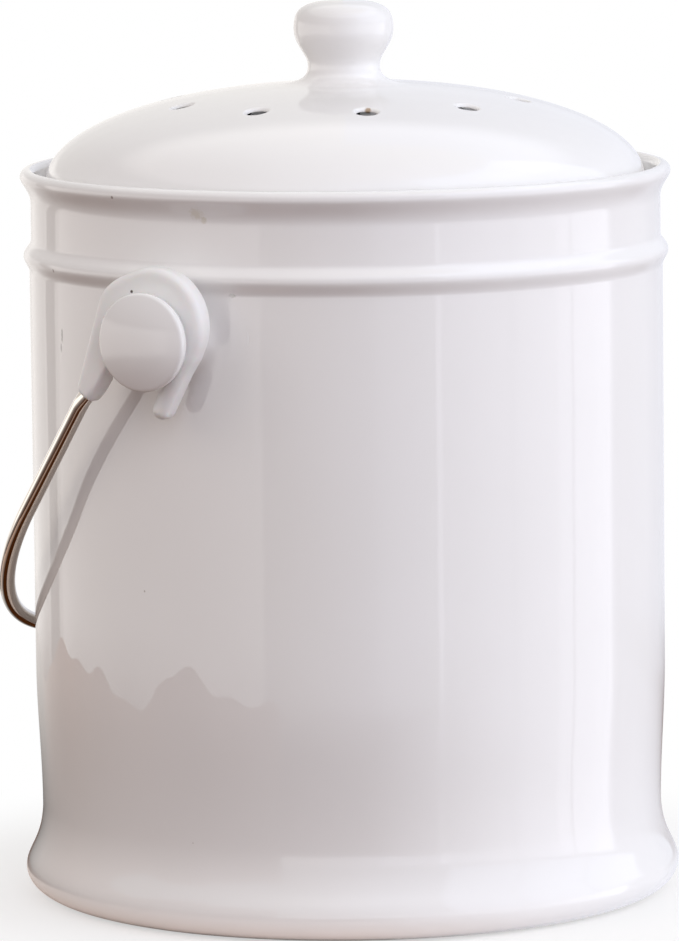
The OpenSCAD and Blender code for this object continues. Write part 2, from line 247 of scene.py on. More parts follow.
# %% The lathe
lathe, given = new_tree("lathe", Steps="NodeSocketInt", Material="NodeSocketMaterial")
size = add(lathe, "GeometryNodeAttributeDomainSize", {"Geometry": given["Geometry"]},
           component="MESH")
columns = add(lathe, "ShaderNodeMath", {0: given["Steps"], 1: 1.0}, operation="ADD")
grid = add(lathe, "GeometryNodeMeshGrid",
           {"Vertices X": size.outputs["Point Count"], "Vertices Y": columns})
index = add(lathe, "GeometryNodeInputIndex")
rows_in = add(lathe, "ShaderNodeMath", {0: index, 1: columns}, operation="DIVIDE")
row = add(lathe, "ShaderNodeMath", {0: rows_in}, operation="FLOOR")
column = add(lathe, "ShaderNodeMath", {0: index, 1: columns}, operation="MODULO")
share = add(lathe, "ShaderNodeMath", {0: column, 1: given["Steps"]}, operation="DIVIDE")
angle = add(lathe, "ShaderNodeMath", {0: share, 1: 2 * pi}, operation="MULTIPLY")
place = add(lathe, "GeometryNodeInputPosition")
picked = add(lathe, "GeometryNodeSampleIndex",
             {"Geometry": given["Geometry"], "Value": place, "Index": row},
             data_type="FLOAT_VECTOR", domain="POINT")
turned = add(lathe, "ShaderNodeVectorRotate", {"Vector": picked, "Angle": angle},
             rotation_type="Z_AXIS")
moved = add(lathe, "GeometryNodeSetPosition", {"Geometry": grid, "Position": turned})
closed = add(lathe, "GeometryNodeMergeByDistance", {"Geometry": moved, "Distance": 1e-6})
end_tree(lathe, closed, given["Material"])


# %% Run a tree on a few points
def in_scene(name, data):
    """New object in the scene with this mesh, camera or light."""
    made = bpy.data.objects.new(name, data)
    bpy.context.scene.collection.objects.link(made)
    return made


def mesh_object(name, points, edges, faces):
    """New object from points in millimetres."""
    mesh = bpy.data.meshes.new(name)
    mesh.from_pydata([tuple(c * MM for c in p) for p in points], edges, faces)
    return in_scene(name, mesh)


def thread(name, points):
    """Chain of points joined by edges."""
    return mesh_object(name, points, [(i, i + 1) for i in range(len(points) - 1)], [])


def grown(piece, tree, **values):
    """Runs a geometry tree on an object, and leaves the result in it as a plain mesh."""
    modifier = piece.modifiers.new(tree.name, "NODES")
    modifier.node_group = tree
    sockets = {item.name: item.identifier for item in tree.interface.items_tree
               if item.in_out == "INPUT"}
    for title, value in values.items():
        modifier[sockets[title]] = value
    bpy.context.view_layer.update()
    result = bpy.data.meshes.new_from_object(piece.evaluated_get(
        bpy.context.evaluated_depsgraph_get()))
    piece.modifiers.remove(modifier)
    old, piece.data = piece.data, result
    bpy.data.meshes.remove(old)
    result.name = piece.name
    result.shade_smooth()
    return piece


def on_lathe(name, outline, steps, material):
    """New piece, turned about the Z axis from its outline of radii and heights."""
    return grown(thread(name, [(r, 0, z) for r, z in outline]), lathe, Steps=steps,
                 Material=material)


def face_outwards(piece):
    """Turns a closed mesh so that its faces point out, by the sign of its volume."""
    mesh = piece.data
    mesh.calc_loop_triangles()
    corners = np.empty(len(mesh.vertices) * 3)
    mesh.vertices.foreach_get("co", corners)
    tris = np.empty(len(mesh.loop_triangles) * 3, int)
    mesh.loop_triangles.foreach_get("vertices", tris)
    a, b, c = (corners.reshape(-1, 3)[tris.reshape(-1, 3)[:, k]] for k in range(3))
    volume = np.einsum("ij,ij->i", a, np.cross(b, c)).sum() / 6
    if volume < 0:
        mesh.flip_normals()
    print(f"{piece.name}: {len(tris) // 3} triangles, {abs(volume) * 1e6:.1f} cubic cm")


# %% [markdown]
# ## Finishes
#
# Colours are written as they look on a screen, and one function turns them linear. Each
# finish starts from its real material.


# %% Colour
def hex_colour(code):
    """sRGB hex to linear RGBA."""
    parts = [int(code[i:i + 2], 16) / 255 for i in (1, 3, 5)]
    return tuple(c / 12.92 if c <= 0.04045 else ((c + 0.055) / 1.055) ** 2.4
                 for c in parts) + (1.0,)


def new_material(name):
    """Material with an empty tree, and object coordinates in millimetres."""
    made = bpy.data.materials.new(name)
    made.use_nodes = True
    tree = made.node_tree
    tree.nodes.clear()
    place = add(tree, "ShaderNodeTexCoord").outputs["Object"]
    return made, tree, add(tree, "ShaderNodeVectorMath", {0: place, 1: (1 / MM,) * 3},
                           operation="MULTIPLY")


# %% [markdown]
# ### White gloss glaze
#
# Stoneware glaze is a layer of glass about half a millimetre thick, made white by fine
# crystals inside it. It shows three things: a clean mirror-like gloss, a slow waviness from
# the way it flowed in the kiln, and a few flaws, which are pinholes where gas came out and
# brown specks of iron. Where the pot stood on the kiln shelf it has no glaze, and the bare
# biscuit shows: a dull, warm, slightly gritty clay.


# %% Pinholes and flaws
def pinholes(tree, mm):
    """Where the pinholes are, from 0 to 1. One cell in ten holds one."""
    cells = add(tree, "ShaderNodeTexVoronoi", {"Vector": mm, "Scale": 1 / 11})
    chance = add(tree, "ShaderNodeSeparateColor", {0: cells.outputs["Color"]})
    rare = add(tree, "ShaderNodeMath", {0: chance, 1: 0.90}, operation="GREATER_THAN")
    near = add(tree, "ShaderNodeMapRange",
               {0: cells.outputs["Distance"], 1: 0.016, 2: 0.034, 3: 1.0, 4: 0.0},
               interpolation_type="SMOOTHSTEP")
    return add(tree, "ShaderNodeMath", {0: rare, 1: near}, operation="MULTIPLY")


def flawed(tree, mm, colour, flaws):
    """The colour with ragged flaws in it."""
    ragged = add(tree, "ShaderNodeTexNoise", {"Vector": mm, "Scale": 1.1, "Detail": 2.0})
    for spot, spot_r, tall, spot_colour, strength in flaws:
        off = add(tree, "ShaderNodeVectorMath", {0: mm, 1: spot}, operation="SUBTRACT")
        squat = add(tree, "ShaderNodeVectorMath", {0: off, 1: (1, 1, 1 / tall)},
                    operation="MULTIPLY")
        away = add(tree, "ShaderNodeVectorMath", {0: squat}, operation="LENGTH")
        edge = add(tree, "ShaderNodeMath",
                   {0: ragged, 1: 1.2 * spot_r, 2: away.outputs["Value"]},
                   operation="MULTIPLY_ADD")
        inside = add(tree, "ShaderNodeMapRange",
                     {0: edge, 1: 1.2 * spot_r, 2: 2.0 * spot_r, 3: strength, 4: 0.0},
                     interpolation_type="SMOOTHSTEP")
        colour = add(tree, "ShaderNodeMix",
                     {0: inside, 6: colour, 7: hex_colour(spot_colour)},
                     data_type="RGBA").outputs[2]
    return colour


# %% Bare clay
def bare_clay(tree, mm, bare_low, bare_high):
    """Where the clay is bare, from 0 to 1, with an uneven edge where the glaze was wiped off."""
    x, y, z = add(tree, "ShaderNodeSeparateXYZ", {0: mm}).outputs
    level = add(tree, "ShaderNodeCombineXYZ", {0: x, 1: y})
    radius = add(tree, "ShaderNodeVectorMath", {0: level}, operation="LENGTH")
    wobble = add(tree, "ShaderNodeTexNoise", {"Vector": mm, "Scale": 1 / 7, "Detail": 3.0})
    bare = 1.0
    for value, low, high in ((z, bare_low[1], bare_high[1]),
                             (radius.outputs["Value"], bare_low[0], bare_high[0])):
        edge = add(tree, "ShaderNodeMath", {0: wobble, 1: 0.5, 2: value},
                   operation="MULTIPLY_ADD")
        for limit, start, end in ((low, 0.0, 1.0), (high, 1.0, 0.0)):
            past = add(tree, "ShaderNodeMapRange",
                       {0: edge, 1: limit + 0.15, 2: limit + 0.35, 3: start, 4: end})
            bare = add(tree, "ShaderNodeMath", {0: past, 1: bare}, operation="MULTIPLY")
    return bare


# %% Glaze
def glaze(name, bare_low, bare_high, flaws=()):
    """Gloss glaze that leaves clay bare between two corners, each a radius and a height."""
    made, tree, mm = new_material(name)

    # Blobs 45 mm across, where the coat is thicker or thinner.
    drift = add(tree, "ShaderNodeTexNoise", {"Vector": mm, "Scale": 1 / 45, "Detail": 2.0})
    colour = add(tree, "ShaderNodeMix",
                 {0: drift, 6: hex_colour("#ECEAE9"), 7: hex_colour("#E8E6E4")},
                 data_type="RGBA").outputs[2]
    speck = pinholes(tree, mm)
    faint = add(tree, "ShaderNodeMath", {0: speck, 1: 0.55}, operation="MULTIPLY")
    colour = add(tree, "ShaderNodeMix", {0: faint, 6: colour, 7: hex_colour("#8E7F70")},
                 data_type="RGBA").outputs[2]
    colour = flawed(tree, mm, colour, flaws)

    bare = bare_clay(tree, mm, bare_low, bare_high)
    grit = add(tree, "ShaderNodeTexNoise", {"Vector": mm, "Scale": 2.2, "Detail": 4.0})
    biscuit = add(tree, "ShaderNodeMix",
                  {0: grit, 6: hex_colour("#CDBFAC"), 7: hex_colour("#E0D6C6")},
                  data_type="RGBA").outputs[2]
    colour = add(tree, "ShaderNodeMix", {0: bare, 6: colour, 7: biscuit},
                 data_type="RGBA").outputs[2]
    gloss = add(tree, "ShaderNodeMapRange", {0: drift, 1: 0.3, 2: 0.7, 3: 0.022, 4: 0.042})
    rough = add(tree, "ShaderNodeMapRange", {0: bare, 3: gloss, 4: 0.85})

    # Relief, each layer over the last: slow waves of the flow, a finer ripple, pinholes, grit.
    waves = add(tree, "ShaderNodeTexNoise", {"Vector": mm, "Scale": 1 / 30, "Detail": 1.0})
    peel = add(tree, "ShaderNodeTexNoise", {"Vector": mm, "Scale": 1 / 5, "Detail": 1.0})
    grain = add(tree, "ShaderNodeMath", {0: grit, 1: bare}, operation="MULTIPLY")
    normal = {}
    for height, depth, strength in ((waves, 0.10, 1.0), (peel, 0.006, 1.0),
                                    (speck, -0.10, 0.6), (grain, 0.12, 0.8)):
        relief = add(tree, "ShaderNodeBump", {"Height": height, "Distance": depth * MM,
                                              "Strength": strength, **normal})
        normal = {"Normal": relief}
    coat = add(tree, "ShaderNodeBsdfPrincipled",
               {"Base Color": colour, "Roughness": rough, "IOR": 1.55, **normal})
    add(tree, "ShaderNodeOutputMaterial", {"Surface": coat})
    return made


# %% Where the flaws lie
def on_wall(azimuth, height, radius):
    """Point on the crock, by its angle round the Z axis in degrees."""
    return (radius * cos(radians(azimuth)), radius * sin(radians(azimuth)), height)


# Each flaw has its place, its radius, how many times taller than wide it is, its colour and
# its strength.
crock_flaws = [
    (on_wall(-175.3, 201.0, neck_r), 1.9, 1.0, "#C3B99A", 0.35),
    (on_wall(-174.0, 198.8, neck_r), 0.9, 1.0, "#B9AE8C", 0.35),
    (on_wall(167.5, 204.0, roll_c[0] + roll_r), 0.45, 1.0, "#6F5A4C", 0.75),
    (on_wall(148.5, 181.5, bead_r), 0.5, 1.0, "#7D6558", 0.7),
    (on_wall(149.7, 163.6, wall_r), 0.42, 4.5, "#5A524B", 0.75),
    (on_wall(149.3, 160.2, wall_r), 0.36, 3.0, "#5A524B", 0.65),
    (on_wall(-158.0, 42.0, wall_r), 0.35, 1.0, "#9C8474", 0.6),
]
lid_flaws = [((-36.2, -29.9, 225.7), 0.8, 1.0, "#9C7B52", 0.85)]
crock_glaze = glaze("white_gloss_glaze_on_crock", (ring_in - 1.0, -1.0), (ring_r + 3.0, 0.45),
                    crock_flaws)
lid_glaze = glaze("white_gloss_glaze_on_lid", (inner_r - 1.6, seat_z - 1.0),
                  (lid_r - 0.6, seat_z + 0.1), lid_flaws)
print("glazes:", crock_glaze.name, lid_glaze.name)

# %% [markdown]
# ### Moulded plastic, wire and pads
#
# The hooks are polypropylene, moulded in white: satin, a little translucent, with a fine
# spark-eroded texture and a parting line round the middle. The bail is bright nickel-plated
# steel wire, drawn through a die, so its faint marks run along it. The pad is charcoal bound
# in fibre, and the fleece behind it is needled polyester. A hook also keeps a small dark mark
# on its face, from the gate through which the plastic went into the mould.

# %% Moulded polypropylene
gate_place, gate_r = (102.0, 5.9, 179.9), 0.3    # the same on both hooks, so x counts unsigned
hook_plastic, tree, mm = new_material("moulded_white_polypropylene")
cloud = add(tree, "ShaderNodeTexNoise", {"Vector": mm, "Scale": 1 / 9, "Detail": 2.0})
x, y, z = add(tree, "ShaderNodeSeparateXYZ", {0: mm}).outputs
out = add(tree, "ShaderNodeMath", {0: x}, operation="ABSOLUTE")
unsigned = add(tree, "ShaderNodeCombineXYZ", {0: out, 1: y, 2: z})
from_gate = add(tree, "ShaderNodeVectorMath", {0: unsigned, 1: gate_place},
                operation="DISTANCE").outputs["Value"]
gate = add(tree, "ShaderNodeMapRange",
           {0: from_gate, 1: gate_r, 2: gate_r + 0.25, 3: 1.0, 4: 0.0},
           interpolation_type="SMOOTHSTEP")
body = add(tree, "ShaderNodeMix",
           {0: cloud, 6: hex_colour("#EEEDEB"), 7: hex_colour("#E8E7E6")},
           data_type="RGBA").outputs[2]
colour = add(tree, "ShaderNodeMix", {0: gate, 6: body, 7: hex_colour("#3B2528")},
             data_type="RGBA").outputs[2]
from_middle = add(tree, "ShaderNodeMath", {0: out, 1: hook_mid}, operation="SUBTRACT")
off_middle = add(tree, "ShaderNodeMath", {0: from_middle}, operation="ABSOLUTE")
seam = add(tree, "ShaderNodeMapRange", {0: off_middle, 1: 0.05, 2: 0.16, 3: 1.0, 4: 0.0},
           interpolation_type="SMOOTHSTEP")
sparks = add(tree, "ShaderNodeTexNoise", {"Vector": mm, "Scale": 4.0, "Detail": 2.0})
eroded = add(tree, "ShaderNodeBump",
             {"Height": sparks, "Distance": 0.012 * MM, "Strength": 1.0})
parted = add(tree, "ShaderNodeBump",
             {"Height": seam, "Distance": 0.05 * MM, "Strength": 0.8, "Normal": eroded})
satin = add(tree, "ShaderNodeMapRange", {0: cloud, 3: 0.34, 4: 0.44})
moulded = add(tree, "ShaderNodeBsdfPrincipled",
              {"Base Color": colour, "Roughness": satin, "IOR": 1.49,
               "Subsurface Weight": 0.15, "Subsurface Scale": 1.5 * MM, "Normal": parted})
add(tree, "ShaderNodeOutputMaterial", {"Surface": moulded})
print("plastic:", len(tree.nodes), "nodes")

# %% Plated wire
bright_wire, tree, mm = new_material("bright_nickel_plated_wire")
along, around = (add(tree, "ShaderNodeAttribute", attribute_name=name).outputs["Fac"]
                 for name in ("along", "around"))
lengthwise = add(tree, "ShaderNodeMath", {0: along, 1: 25.0}, operation="MULTIPLY")
crosswise = add(tree, "ShaderNodeMath", {0: around, 1: 60.0}, operation="MULTIPLY")
drawn = add(tree, "ShaderNodeCombineXYZ", {0: lengthwise, 1: crosswise})
marks = add(tree, "ShaderNodeTexNoise", {"Vector": drawn, "Scale": 1.0, "Detail": 3.0})
scored = add(tree, "ShaderNodeBump", {"Height": marks, "Distance": 0.006 * MM, "Strength": 0.6})
haze = add(tree, "ShaderNodeTexNoise", {"Vector": mm, "Scale": 1 / 6, "Detail": 3.0})
colour = add(tree, "ShaderNodeMix",
             {0: haze, 6: hex_colour("#CFC9C2"), 7: hex_colour("#BDB5AC")},
             data_type="RGBA").outputs[2]
rough = add(tree, "ShaderNodeMapRange", {0: haze, 1: 0.3, 2: 0.7, 3: 0.035, 4: 0.075})
plating = add(tree, "ShaderNodeBsdfPrincipled",
              {"Base Color": colour, "Roughness": rough, "Metallic": 1.0, "Normal": scored})
add(tree, "ShaderNodeOutputMaterial", {"Surface": plating})
print("wire:", len(tree.nodes), "nodes")


# %% Finish of the pads
def felted(name, dark, light, roughness):
    """Matted fibre: streaks of noise in two directions over a rough, dull ground."""
    made, tree, mm = new_material(name)
    height = 0.0
    for stretch in ((3.0, 0.5, 3.0), (0.5, 3.0, 3.0)):
        pulled = add(tree, "ShaderNodeVectorMath", {0: mm, 1: stretch}, operation="MULTIPLY")
        streaks = add(tree, "ShaderNodeTexNoise",
                      {"Vector": pulled, "Scale": 0.8, "Detail": 3.0, "Distortion": 1.5})
        height = add(tree, "ShaderNodeMath", {0: streaks, 1: height}, operation="ADD")
    amount = add(tree, "ShaderNodeMapRange", {0: height, 1: 0.75, 2: 1.3})
    colour = add(tree, "ShaderNodeMix", {0: amount, 6: hex_colour(dark), 7: hex_colour(light)},
                 data_type="RGBA").outputs[2]
    nap = add(tree, "ShaderNodeBump", {"Height": height, "Distance": 0.4 * MM, "Strength": 0.9})
    felt = add(tree, "ShaderNodeBsdfPrincipled",
               {"Base Color": colour, "Roughness": roughness, "Sheen Weight": 0.3,
                "Normal": nap})
    add(tree, "ShaderNodeOutputMaterial", {"Surface": felt})
    return made


charcoal = felted("charcoal_bound_in_fibre", "#141414", "#3A3836", 0.95)
fleece = felted("needled_polyester_fleece", "#7E8682", "#A9AFAB", 0.9)
print("pads:", charcoal.name, fleece.name)

# %% [markdown]
# ## The crock
#
# The body is one turn of the lathe. It is fine enough that its gloss shows no facets.

# %% Crock
turn_steps = 264
crock = on_lathe("stoneware_crock", crock_outline, turn_steps, crock_glaze)
face_outwards(crock)
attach(crock, "crock_body")
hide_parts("crock")

# %% [markdown]
# ## The studs
#
# Each stud is a button with a low domed face on a short neck, stuck on with slip before
# firing, and the glaze has filled the corner where it meets the wall. It is turned like the
# crock, about its own axis. Then every point near the wall is lifted by a smooth maximum of
# two heights, that of the turned flare and that of the wall, which makes the fillet. The
# last ring dips into the wall.

# %% Outline of a stud, as radius and distance from the axis of the crock
stud_neck_r = 9.0
head_r = 13.5
head_crown = 2.5
head_lip = 0.9        # how far the edge of the face is rounded
head_back = hook_out + 0.4
head_edge = head_front - 3.6
face_r, face_edge = head_r - head_lip, head_front - head_crown
head_round = 0.25 * head_r
boss_end = hook_in - 0.4
boss_r = 16.5
boss_side = sqrt(wall_r ** 2 - boss_r ** 2)
boss_sink = 0.5
skirt_out = 22.0    # where the skirt of glaze ends, inside the wall
skirt_drop = 3.2
neck_soft = 0.6

stud_outline = joined(
    bend((0, head_front), (0.33 * head_r, head_front), (face_r - 4.2, face_edge + 1.67),
         (face_r, face_edge), 24),
    bend((face_r, face_edge), (face_r + 0.6 * head_lip, face_edge - 0.25 * head_lip),
         (head_r, head_edge + 0.6), (head_r, head_edge), 10),
    arc((head_r - head_round, head_edge), head_round, head_edge - head_back, 0, -90, 14),
    line((head_r - head_round, head_back), (stud_neck_r + neck_soft, head_back), 3),
    arc((stud_neck_r + neck_soft, head_back - neck_soft), neck_soft, neck_soft, 90, 180, 6),
    line((stud_neck_r, head_back - neck_soft), (stud_neck_r, boss_end), 8),
    bend((stud_neck_r, boss_end), (1.07 * stud_neck_r, boss_end - 0.55 * (boss_end - wall_r)),
         (0.72 * boss_r, boss_side + boss_sink), (boss_r, boss_side - boss_sink), 40),
    bend((boss_r, boss_side - boss_sink), (boss_r + 1.8, boss_side - boss_sink - 0.4),
         (skirt_out - 2, boss_side - skirt_drop + 1.4), (skirt_out, boss_side - skirt_drop), 24),
    line((skirt_out, boss_side - skirt_drop), (0, boss_side - 6), 8))
print("outline of a stud:", len(stud_outline), "points")


# %% Stud
fillet = 2.6        # how far the glaze bridges the corner at the wall
tuck_in = 0.012     # how far the skirt starts inside the wall, so that its edge can't show


def wall_at(y, z):
    """Distance of the crock's outside from the YZ plane, at points y and z."""
    tall = outside[outside[:, 1] > foot_z]
    radius = np.interp(z, tall[:, 1], tall[:, 0])
    return np.sqrt(np.maximum(radius ** 2 - y ** 2, 0))


def make_stud(name, node, side):
    """A stud on the side -1 or 1, turned about the line that the bail turns on."""
    piece = on_lathe(name, stud_outline, 160, crock_glaze)
    points = np.array([v.co for v in piece.data.vertices]) / MM
    y, z, x = points[:, 0], points[:, 1], points[:, 2].copy()
    out = np.hypot(y, z)
    wall = wall_at(y, z + stud_z)
    above = x - wall
    near = np.maximum(fillet - np.abs(above), 0) / fillet
    merged = np.maximum(x, wall) + fillet / 6 * near ** 3
    merged -= tuck_in + 0.12 * np.maximum(-above - fillet, 0) ** 2
    flare = (x < boss_end) & (out > 0.97 * stud_neck_r)
    x[flare] = merged[flare]
    back = ~flare & (x < boss_side - 3)
    x[back] = np.minimum(x[back], wall[back] - 1.5)
    placed = np.column_stack([side * x, y, z + stud_z]) * MM
    piece.data.vertices.foreach_set("co", placed.ravel())
    piece.data.update()
    face_outwards(piece)
    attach(piece, "crock_body")
    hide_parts(node)


make_stud("stud_front", "front_stud", -1)
make_stud("stud_rear", "rear_stud", 1)

# %% [markdown]
# ## The lid
#
# The lid has ten vents, so it is ten equal slices. Python makes one slice with a vent in its
# middle, and a tree of Geometry Nodes sets out ten copies and welds them. Inside a slice the
# skin round the vent changes from a grid to rings, so the dome stays perfectly smooth up to
# the lip, and the lip itself is rolled over, as thick glaze rolls over the edge of a hole.

# %% Sizes of the lid and the knob
vent_count = 10
vent_r = 3.0
vent_ring_r = 50.0
vent_turn = 2.5
vent_half = 8.0      # half the side of the patch round a vent
dome_n = 2.1
edge_r = 1.2
dome_z = seat_z + edge_r
dome_h = 28.3
skirt_r = inner_r - 1.2
skirt_in = skirt_r - 4.5
hollow_r = skirt_in - 2.8
hollow_h = dome_z + dome_h - 5.3 - seat_z
knob_h = knob_top - crown_z
knob_r, knob_neck_r = 14.1, 10.2
knob_neck_h, knob_wide_h = 5.0, 15.6
print(f"dome {dome_h:.1f} high from {dome_z:.1f}, knob {knob_h:.1f} high")


# %% Dome curves
def dome_height(r, rx, ry, base):
    """Height of a superellipse dome at the radius r."""
    return base + ry * np.maximum(1 - (np.asarray(r, float) / rx) ** dome_n, 0) ** (1 / dome_n)


def dome_run(rx, ry, base, r_from, r_to, steps):
    """Points of a dome between two radii, evenly spaced in its own angle."""
    a = np.linspace(*(acos(min(1, (r / rx) ** (dome_n / 2))) for r in (r_from, r_to)), steps + 1)
    r = rx * np.cos(a) ** (2 / dome_n)
    return np.column_stack([r, dome_height(r, rx, ry, base)])


def flat_run(rx, ry, base, r_from, r_to, steps):
    """The same, evenly spaced in radius."""
    r = np.linspace(r_from, r_to, steps + 1)
    return np.column_stack([r, dome_height(r, rx, ry, base)])


outer_dome = (lid_r, dome_h, dome_z)
inner_dome = (hollow_r, hollow_h, seat_z)
vent_lo, vent_hi = vent_ring_r - vent_half, vent_ring_r + vent_half

# %% Outline of the lid, from the top of the knob to the middle of the hollow
wide_rise = knob_wide_h - knob_neck_h
lid_outline = joined(
    bend((0, knob_top), (0.88 * knob_r, knob_top),
         (knob_r, crown_z + knob_wide_h + 0.62 * (knob_h - knob_wide_h)),
         (knob_r, crown_z + knob_wide_h), 26),
    bend((knob_r, crown_z + knob_wide_h), (knob_r, crown_z + knob_neck_h + 0.52 * wide_rise),
         (knob_neck_r, crown_z + knob_neck_h + 0.33 * wide_rise),
         (knob_neck_r, crown_z + knob_neck_h), 20),
    bend((knob_neck_r, crown_z + knob_neck_h), (knob_neck_r, crown_z + 0.44 * knob_neck_h),
         (0.7 * knob_foot_r, crown_z + 0.08 * knob_neck_h),
         (knob_foot_r + 2, dome_height(knob_foot_r + 2, *outer_dome)), 18),
    flat_run(*outer_dome, knob_foot_r + 2, vent_lo, 14),
    flat_run(*outer_dome, vent_lo, vent_hi, 12),
    dome_run(*outer_dome, vent_hi, lid_r, 22),
    arc((lid_r - edge_r, dome_z), edge_r, edge_r, 0, -90, 8),
    line((lid_r - edge_r, seat_z), (skirt_r + soft, seat_z), 3),
    arc((skirt_r + soft, seat_z - soft), soft, soft, 90, 180, 6),
    line((skirt_r, seat_z - soft), (skirt_r, skirt_z + 1.4), 5),
    arc((skirt_r - 1.4, skirt_z + 1.4), 1.4, 1.4, 0, -90, 6),
    arc((skirt_in + 1.4, skirt_z + 1.4), 1.4, 1.4, -90, -180, 6),
    line((skirt_in, skirt_z + 1.4), (skirt_in, seat_z - 0.5), 5),
    bend((skirt_in, seat_z - 0.5), (skirt_in, seat_z), (skirt_in, seat_z),
         (skirt_in - 0.5, seat_z), 5),
    line((skirt_in - 0.5, seat_z), (hollow_r, seat_z), 3),
    dome_run(*inner_dome, hollow_r, vent_hi, 16),
    flat_run(*inner_dome, vent_hi, vent_lo, 12),
    flat_run(*inner_dome, vent_lo, 0, 20))
print("outline of the lid:", len(lid_outline), "points")

# %% A slice with one vent
slice_angle = 2 * pi / vent_count
slice_steps = 24
patch_steps = 12     # columns of the slice that the patch round the vent covers
ring_count, lip_count = 7, 6      # rings from the patch to the lip, and over it
crowding = 1.4       # above 1, the rings crowd towards the lip


def make_slice():
    """Points and faces of one slice of the lid, with its vent on the X axis."""
    angles = (np.arange(slice_steps + 1) / slice_steps - 0.5) * slice_angle
    points = [(r * cos(a), r * sin(a), z) for r, z in lid_outline for a in angles]
    width = slice_steps + 1
    first = (slice_steps - patch_steps) // 2
    last = first + patch_steps
    radii, heights = lid_outline[:, 0], lid_outline[:, 1]
    blocks = []
    for upper in (True, False):
        # The outer skin lies more than 1 mm above the hollow. The skirt has no part in either.
        over = heights > dome_height(np.minimum(radii, hollow_r), *inner_dome) + 1
        inside = (radii > vent_lo - 1e-6) & (radii < vent_hi + 1e-6) & (over == upper)
        inside &= heights > seat_z + 5
        rows = np.flatnonzero(inside)
        blocks.append((rows[0], rows[-1]))
    faces = []
    for i in range(len(lid_outline) - 1):
        for j in range(slice_steps):
            cut = any(lo <= i < hi for lo, hi in blocks) and first <= j < last
            if not cut:
                a = i * width + j
                faces.append((a, a + width, a + width + 1, a + 1))
    mouths = []
    for (lo, hi), dome, lip in zip(blocks, (outer_dome, inner_dome), (1.0, 0.6)):
        loop = [lo * width + j for j in range(first, last)]
        loop += [i * width + last for i in range(lo, hi)]
        loop += [hi * width + j for j in range(last, first, -1)]
        loop += [i * width + first for i in range(hi, lo, -1)]
        mouths.append(add_mouth(points, faces, loop, dome, lip))
    for k in range(len(mouths[0])):
        after = (k + 1) % len(mouths[0])
        faces.append((mouths[0][k], mouths[0][after], mouths[1][-after], mouths[1][-k]))
    return points, faces


def add_mouth(points, faces, loop, dome, lip):
    """Rings from a square loop of points to the lip of the vent, and over the lip."""
    corners = np.array([points[i] for i in loop])
    dx, dy = corners[:, 0] - vent_ring_r, corners[:, 1]
    angle = np.arctan2(dy, dx)
    down = -1 if dome is outer_dome else 1
    rings = []
    for t in np.linspace(0, 1, ring_count + 1)[1:]:
        shrink = 1 - (1 - t) ** crowding
        goal = vent_r + lip
        x = vent_ring_r + dx * (1 - shrink) + goal * np.cos(angle) * shrink
        y = dy * (1 - shrink) + goal * np.sin(angle) * shrink
        rings.append((x, y, dome_height(np.hypot(x, y), *dome)))
    for bow in np.radians(np.linspace(0, 90, lip_count + 1)[1:]):
        r = vent_r + lip * (1 - sin(bow))
        x = vent_ring_r + r * np.cos(angle)
        y = r * np.sin(angle)
        drop = down * lip * (1 - cos(bow))
        rings.append((x, y, dome_height(np.hypot(x, y), *dome) + drop))
    previous = loop
    for x, y, z in rings:
        start = len(points)
        points.extend(zip(x, y, z))
        current = list(range(start, start + len(loop)))
        for k in range(len(loop)):
            after = (k + 1) % len(loop)
            faces.append((previous[k], current[k], current[after], previous[after]))
        previous = current
    return previous


slice_points, slice_faces = make_slice()
print("slice:", len(slice_points), "points,", len(slice_faces), "faces")

# %% Ten slices from one
ring_tree, given = new_tree("ring_of_slices", Count="NodeSocketInt", First="NodeSocketFloat",
                            Material="NodeSocketMaterial")
spots = add(ring_tree, "GeometryNodeMeshLine",
            {"Count": given["Count"], "Offset": (0.0, 0.0, 0.0)})
index = add(ring_tree, "GeometryNodeInputIndex")
share = add(ring_tree, "ShaderNodeMath", {0: index, 1: given["Count"]}, operation="DIVIDE")
turn = add(ring_tree, "ShaderNodeMath", {0: share, 1: 2 * pi, 2: given["First"]},
           operation="MULTIPLY_ADD")
facing = add(ring_tree, "ShaderNodeCombineXYZ", {2: turn})
copies = add(ring_tree, "GeometryNodeInstanceOnPoints",
             {"Points": spots, "Instance": given["Geometry"], "Rotation": facing})
solid = add(ring_tree, "GeometryNodeRealizeInstances", {"Geometry": copies})
welded = add(ring_tree, "GeometryNodeMergeByDistance", {"Geometry": solid, "Distance": 2e-6})
end_tree(ring_tree, welded, given["Material"])

# %% Lid
lid = grown(mesh_object("lid_and_knob", slice_points, [], slice_faces), ring_tree,
            Count=vent_count, First=radians(vent_turn), Material=lid_glaze)
face_outwards(lid)
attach(lid, "lid_body")
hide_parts("lid", "lid_knob")

# %% [markdown]
# ## The bail
#
# The bail is one round wire. Its middle line follows a rule: a straight end inside each hook,
# a bend inwards, and a round bow. Geometry Nodes sweep a circle along that line. The line is
# laid out flat first, with x along the studs and y along the bail, and then swung down to
# where the bail rests against the wall.

# %% Sizes of the bail
wire_r = 4.5 / 2
bail_off = 7.0
arm_l = 24.0
leg_r = hook_t / 2 - 0.3
tuck_r = 8.0
grip_l = 10.0
bend_r = 14.0
bail_reach = knob_top + 44 + wire_r - stud_z
bow_r = hook_mid - 10
bow_c = bail_reach - bow_r
bend_c = (hook_mid - bend_r, arm_l + leg_r + 0.5)
splay = (acos((bow_r - bend_r) / hypot(bend_c[0], bow_c - bend_c[1]))
         - atan((bow_c - bend_c[1]) / bend_c[0]))
rest_angle = (acos((wall_r + wire_r + 0.3) / hypot(bail_reach, bail_off))
              + atan(bail_off / bail_reach))
print(f"bail rests {rest_angle * 180 / pi:.1f} degrees below level")

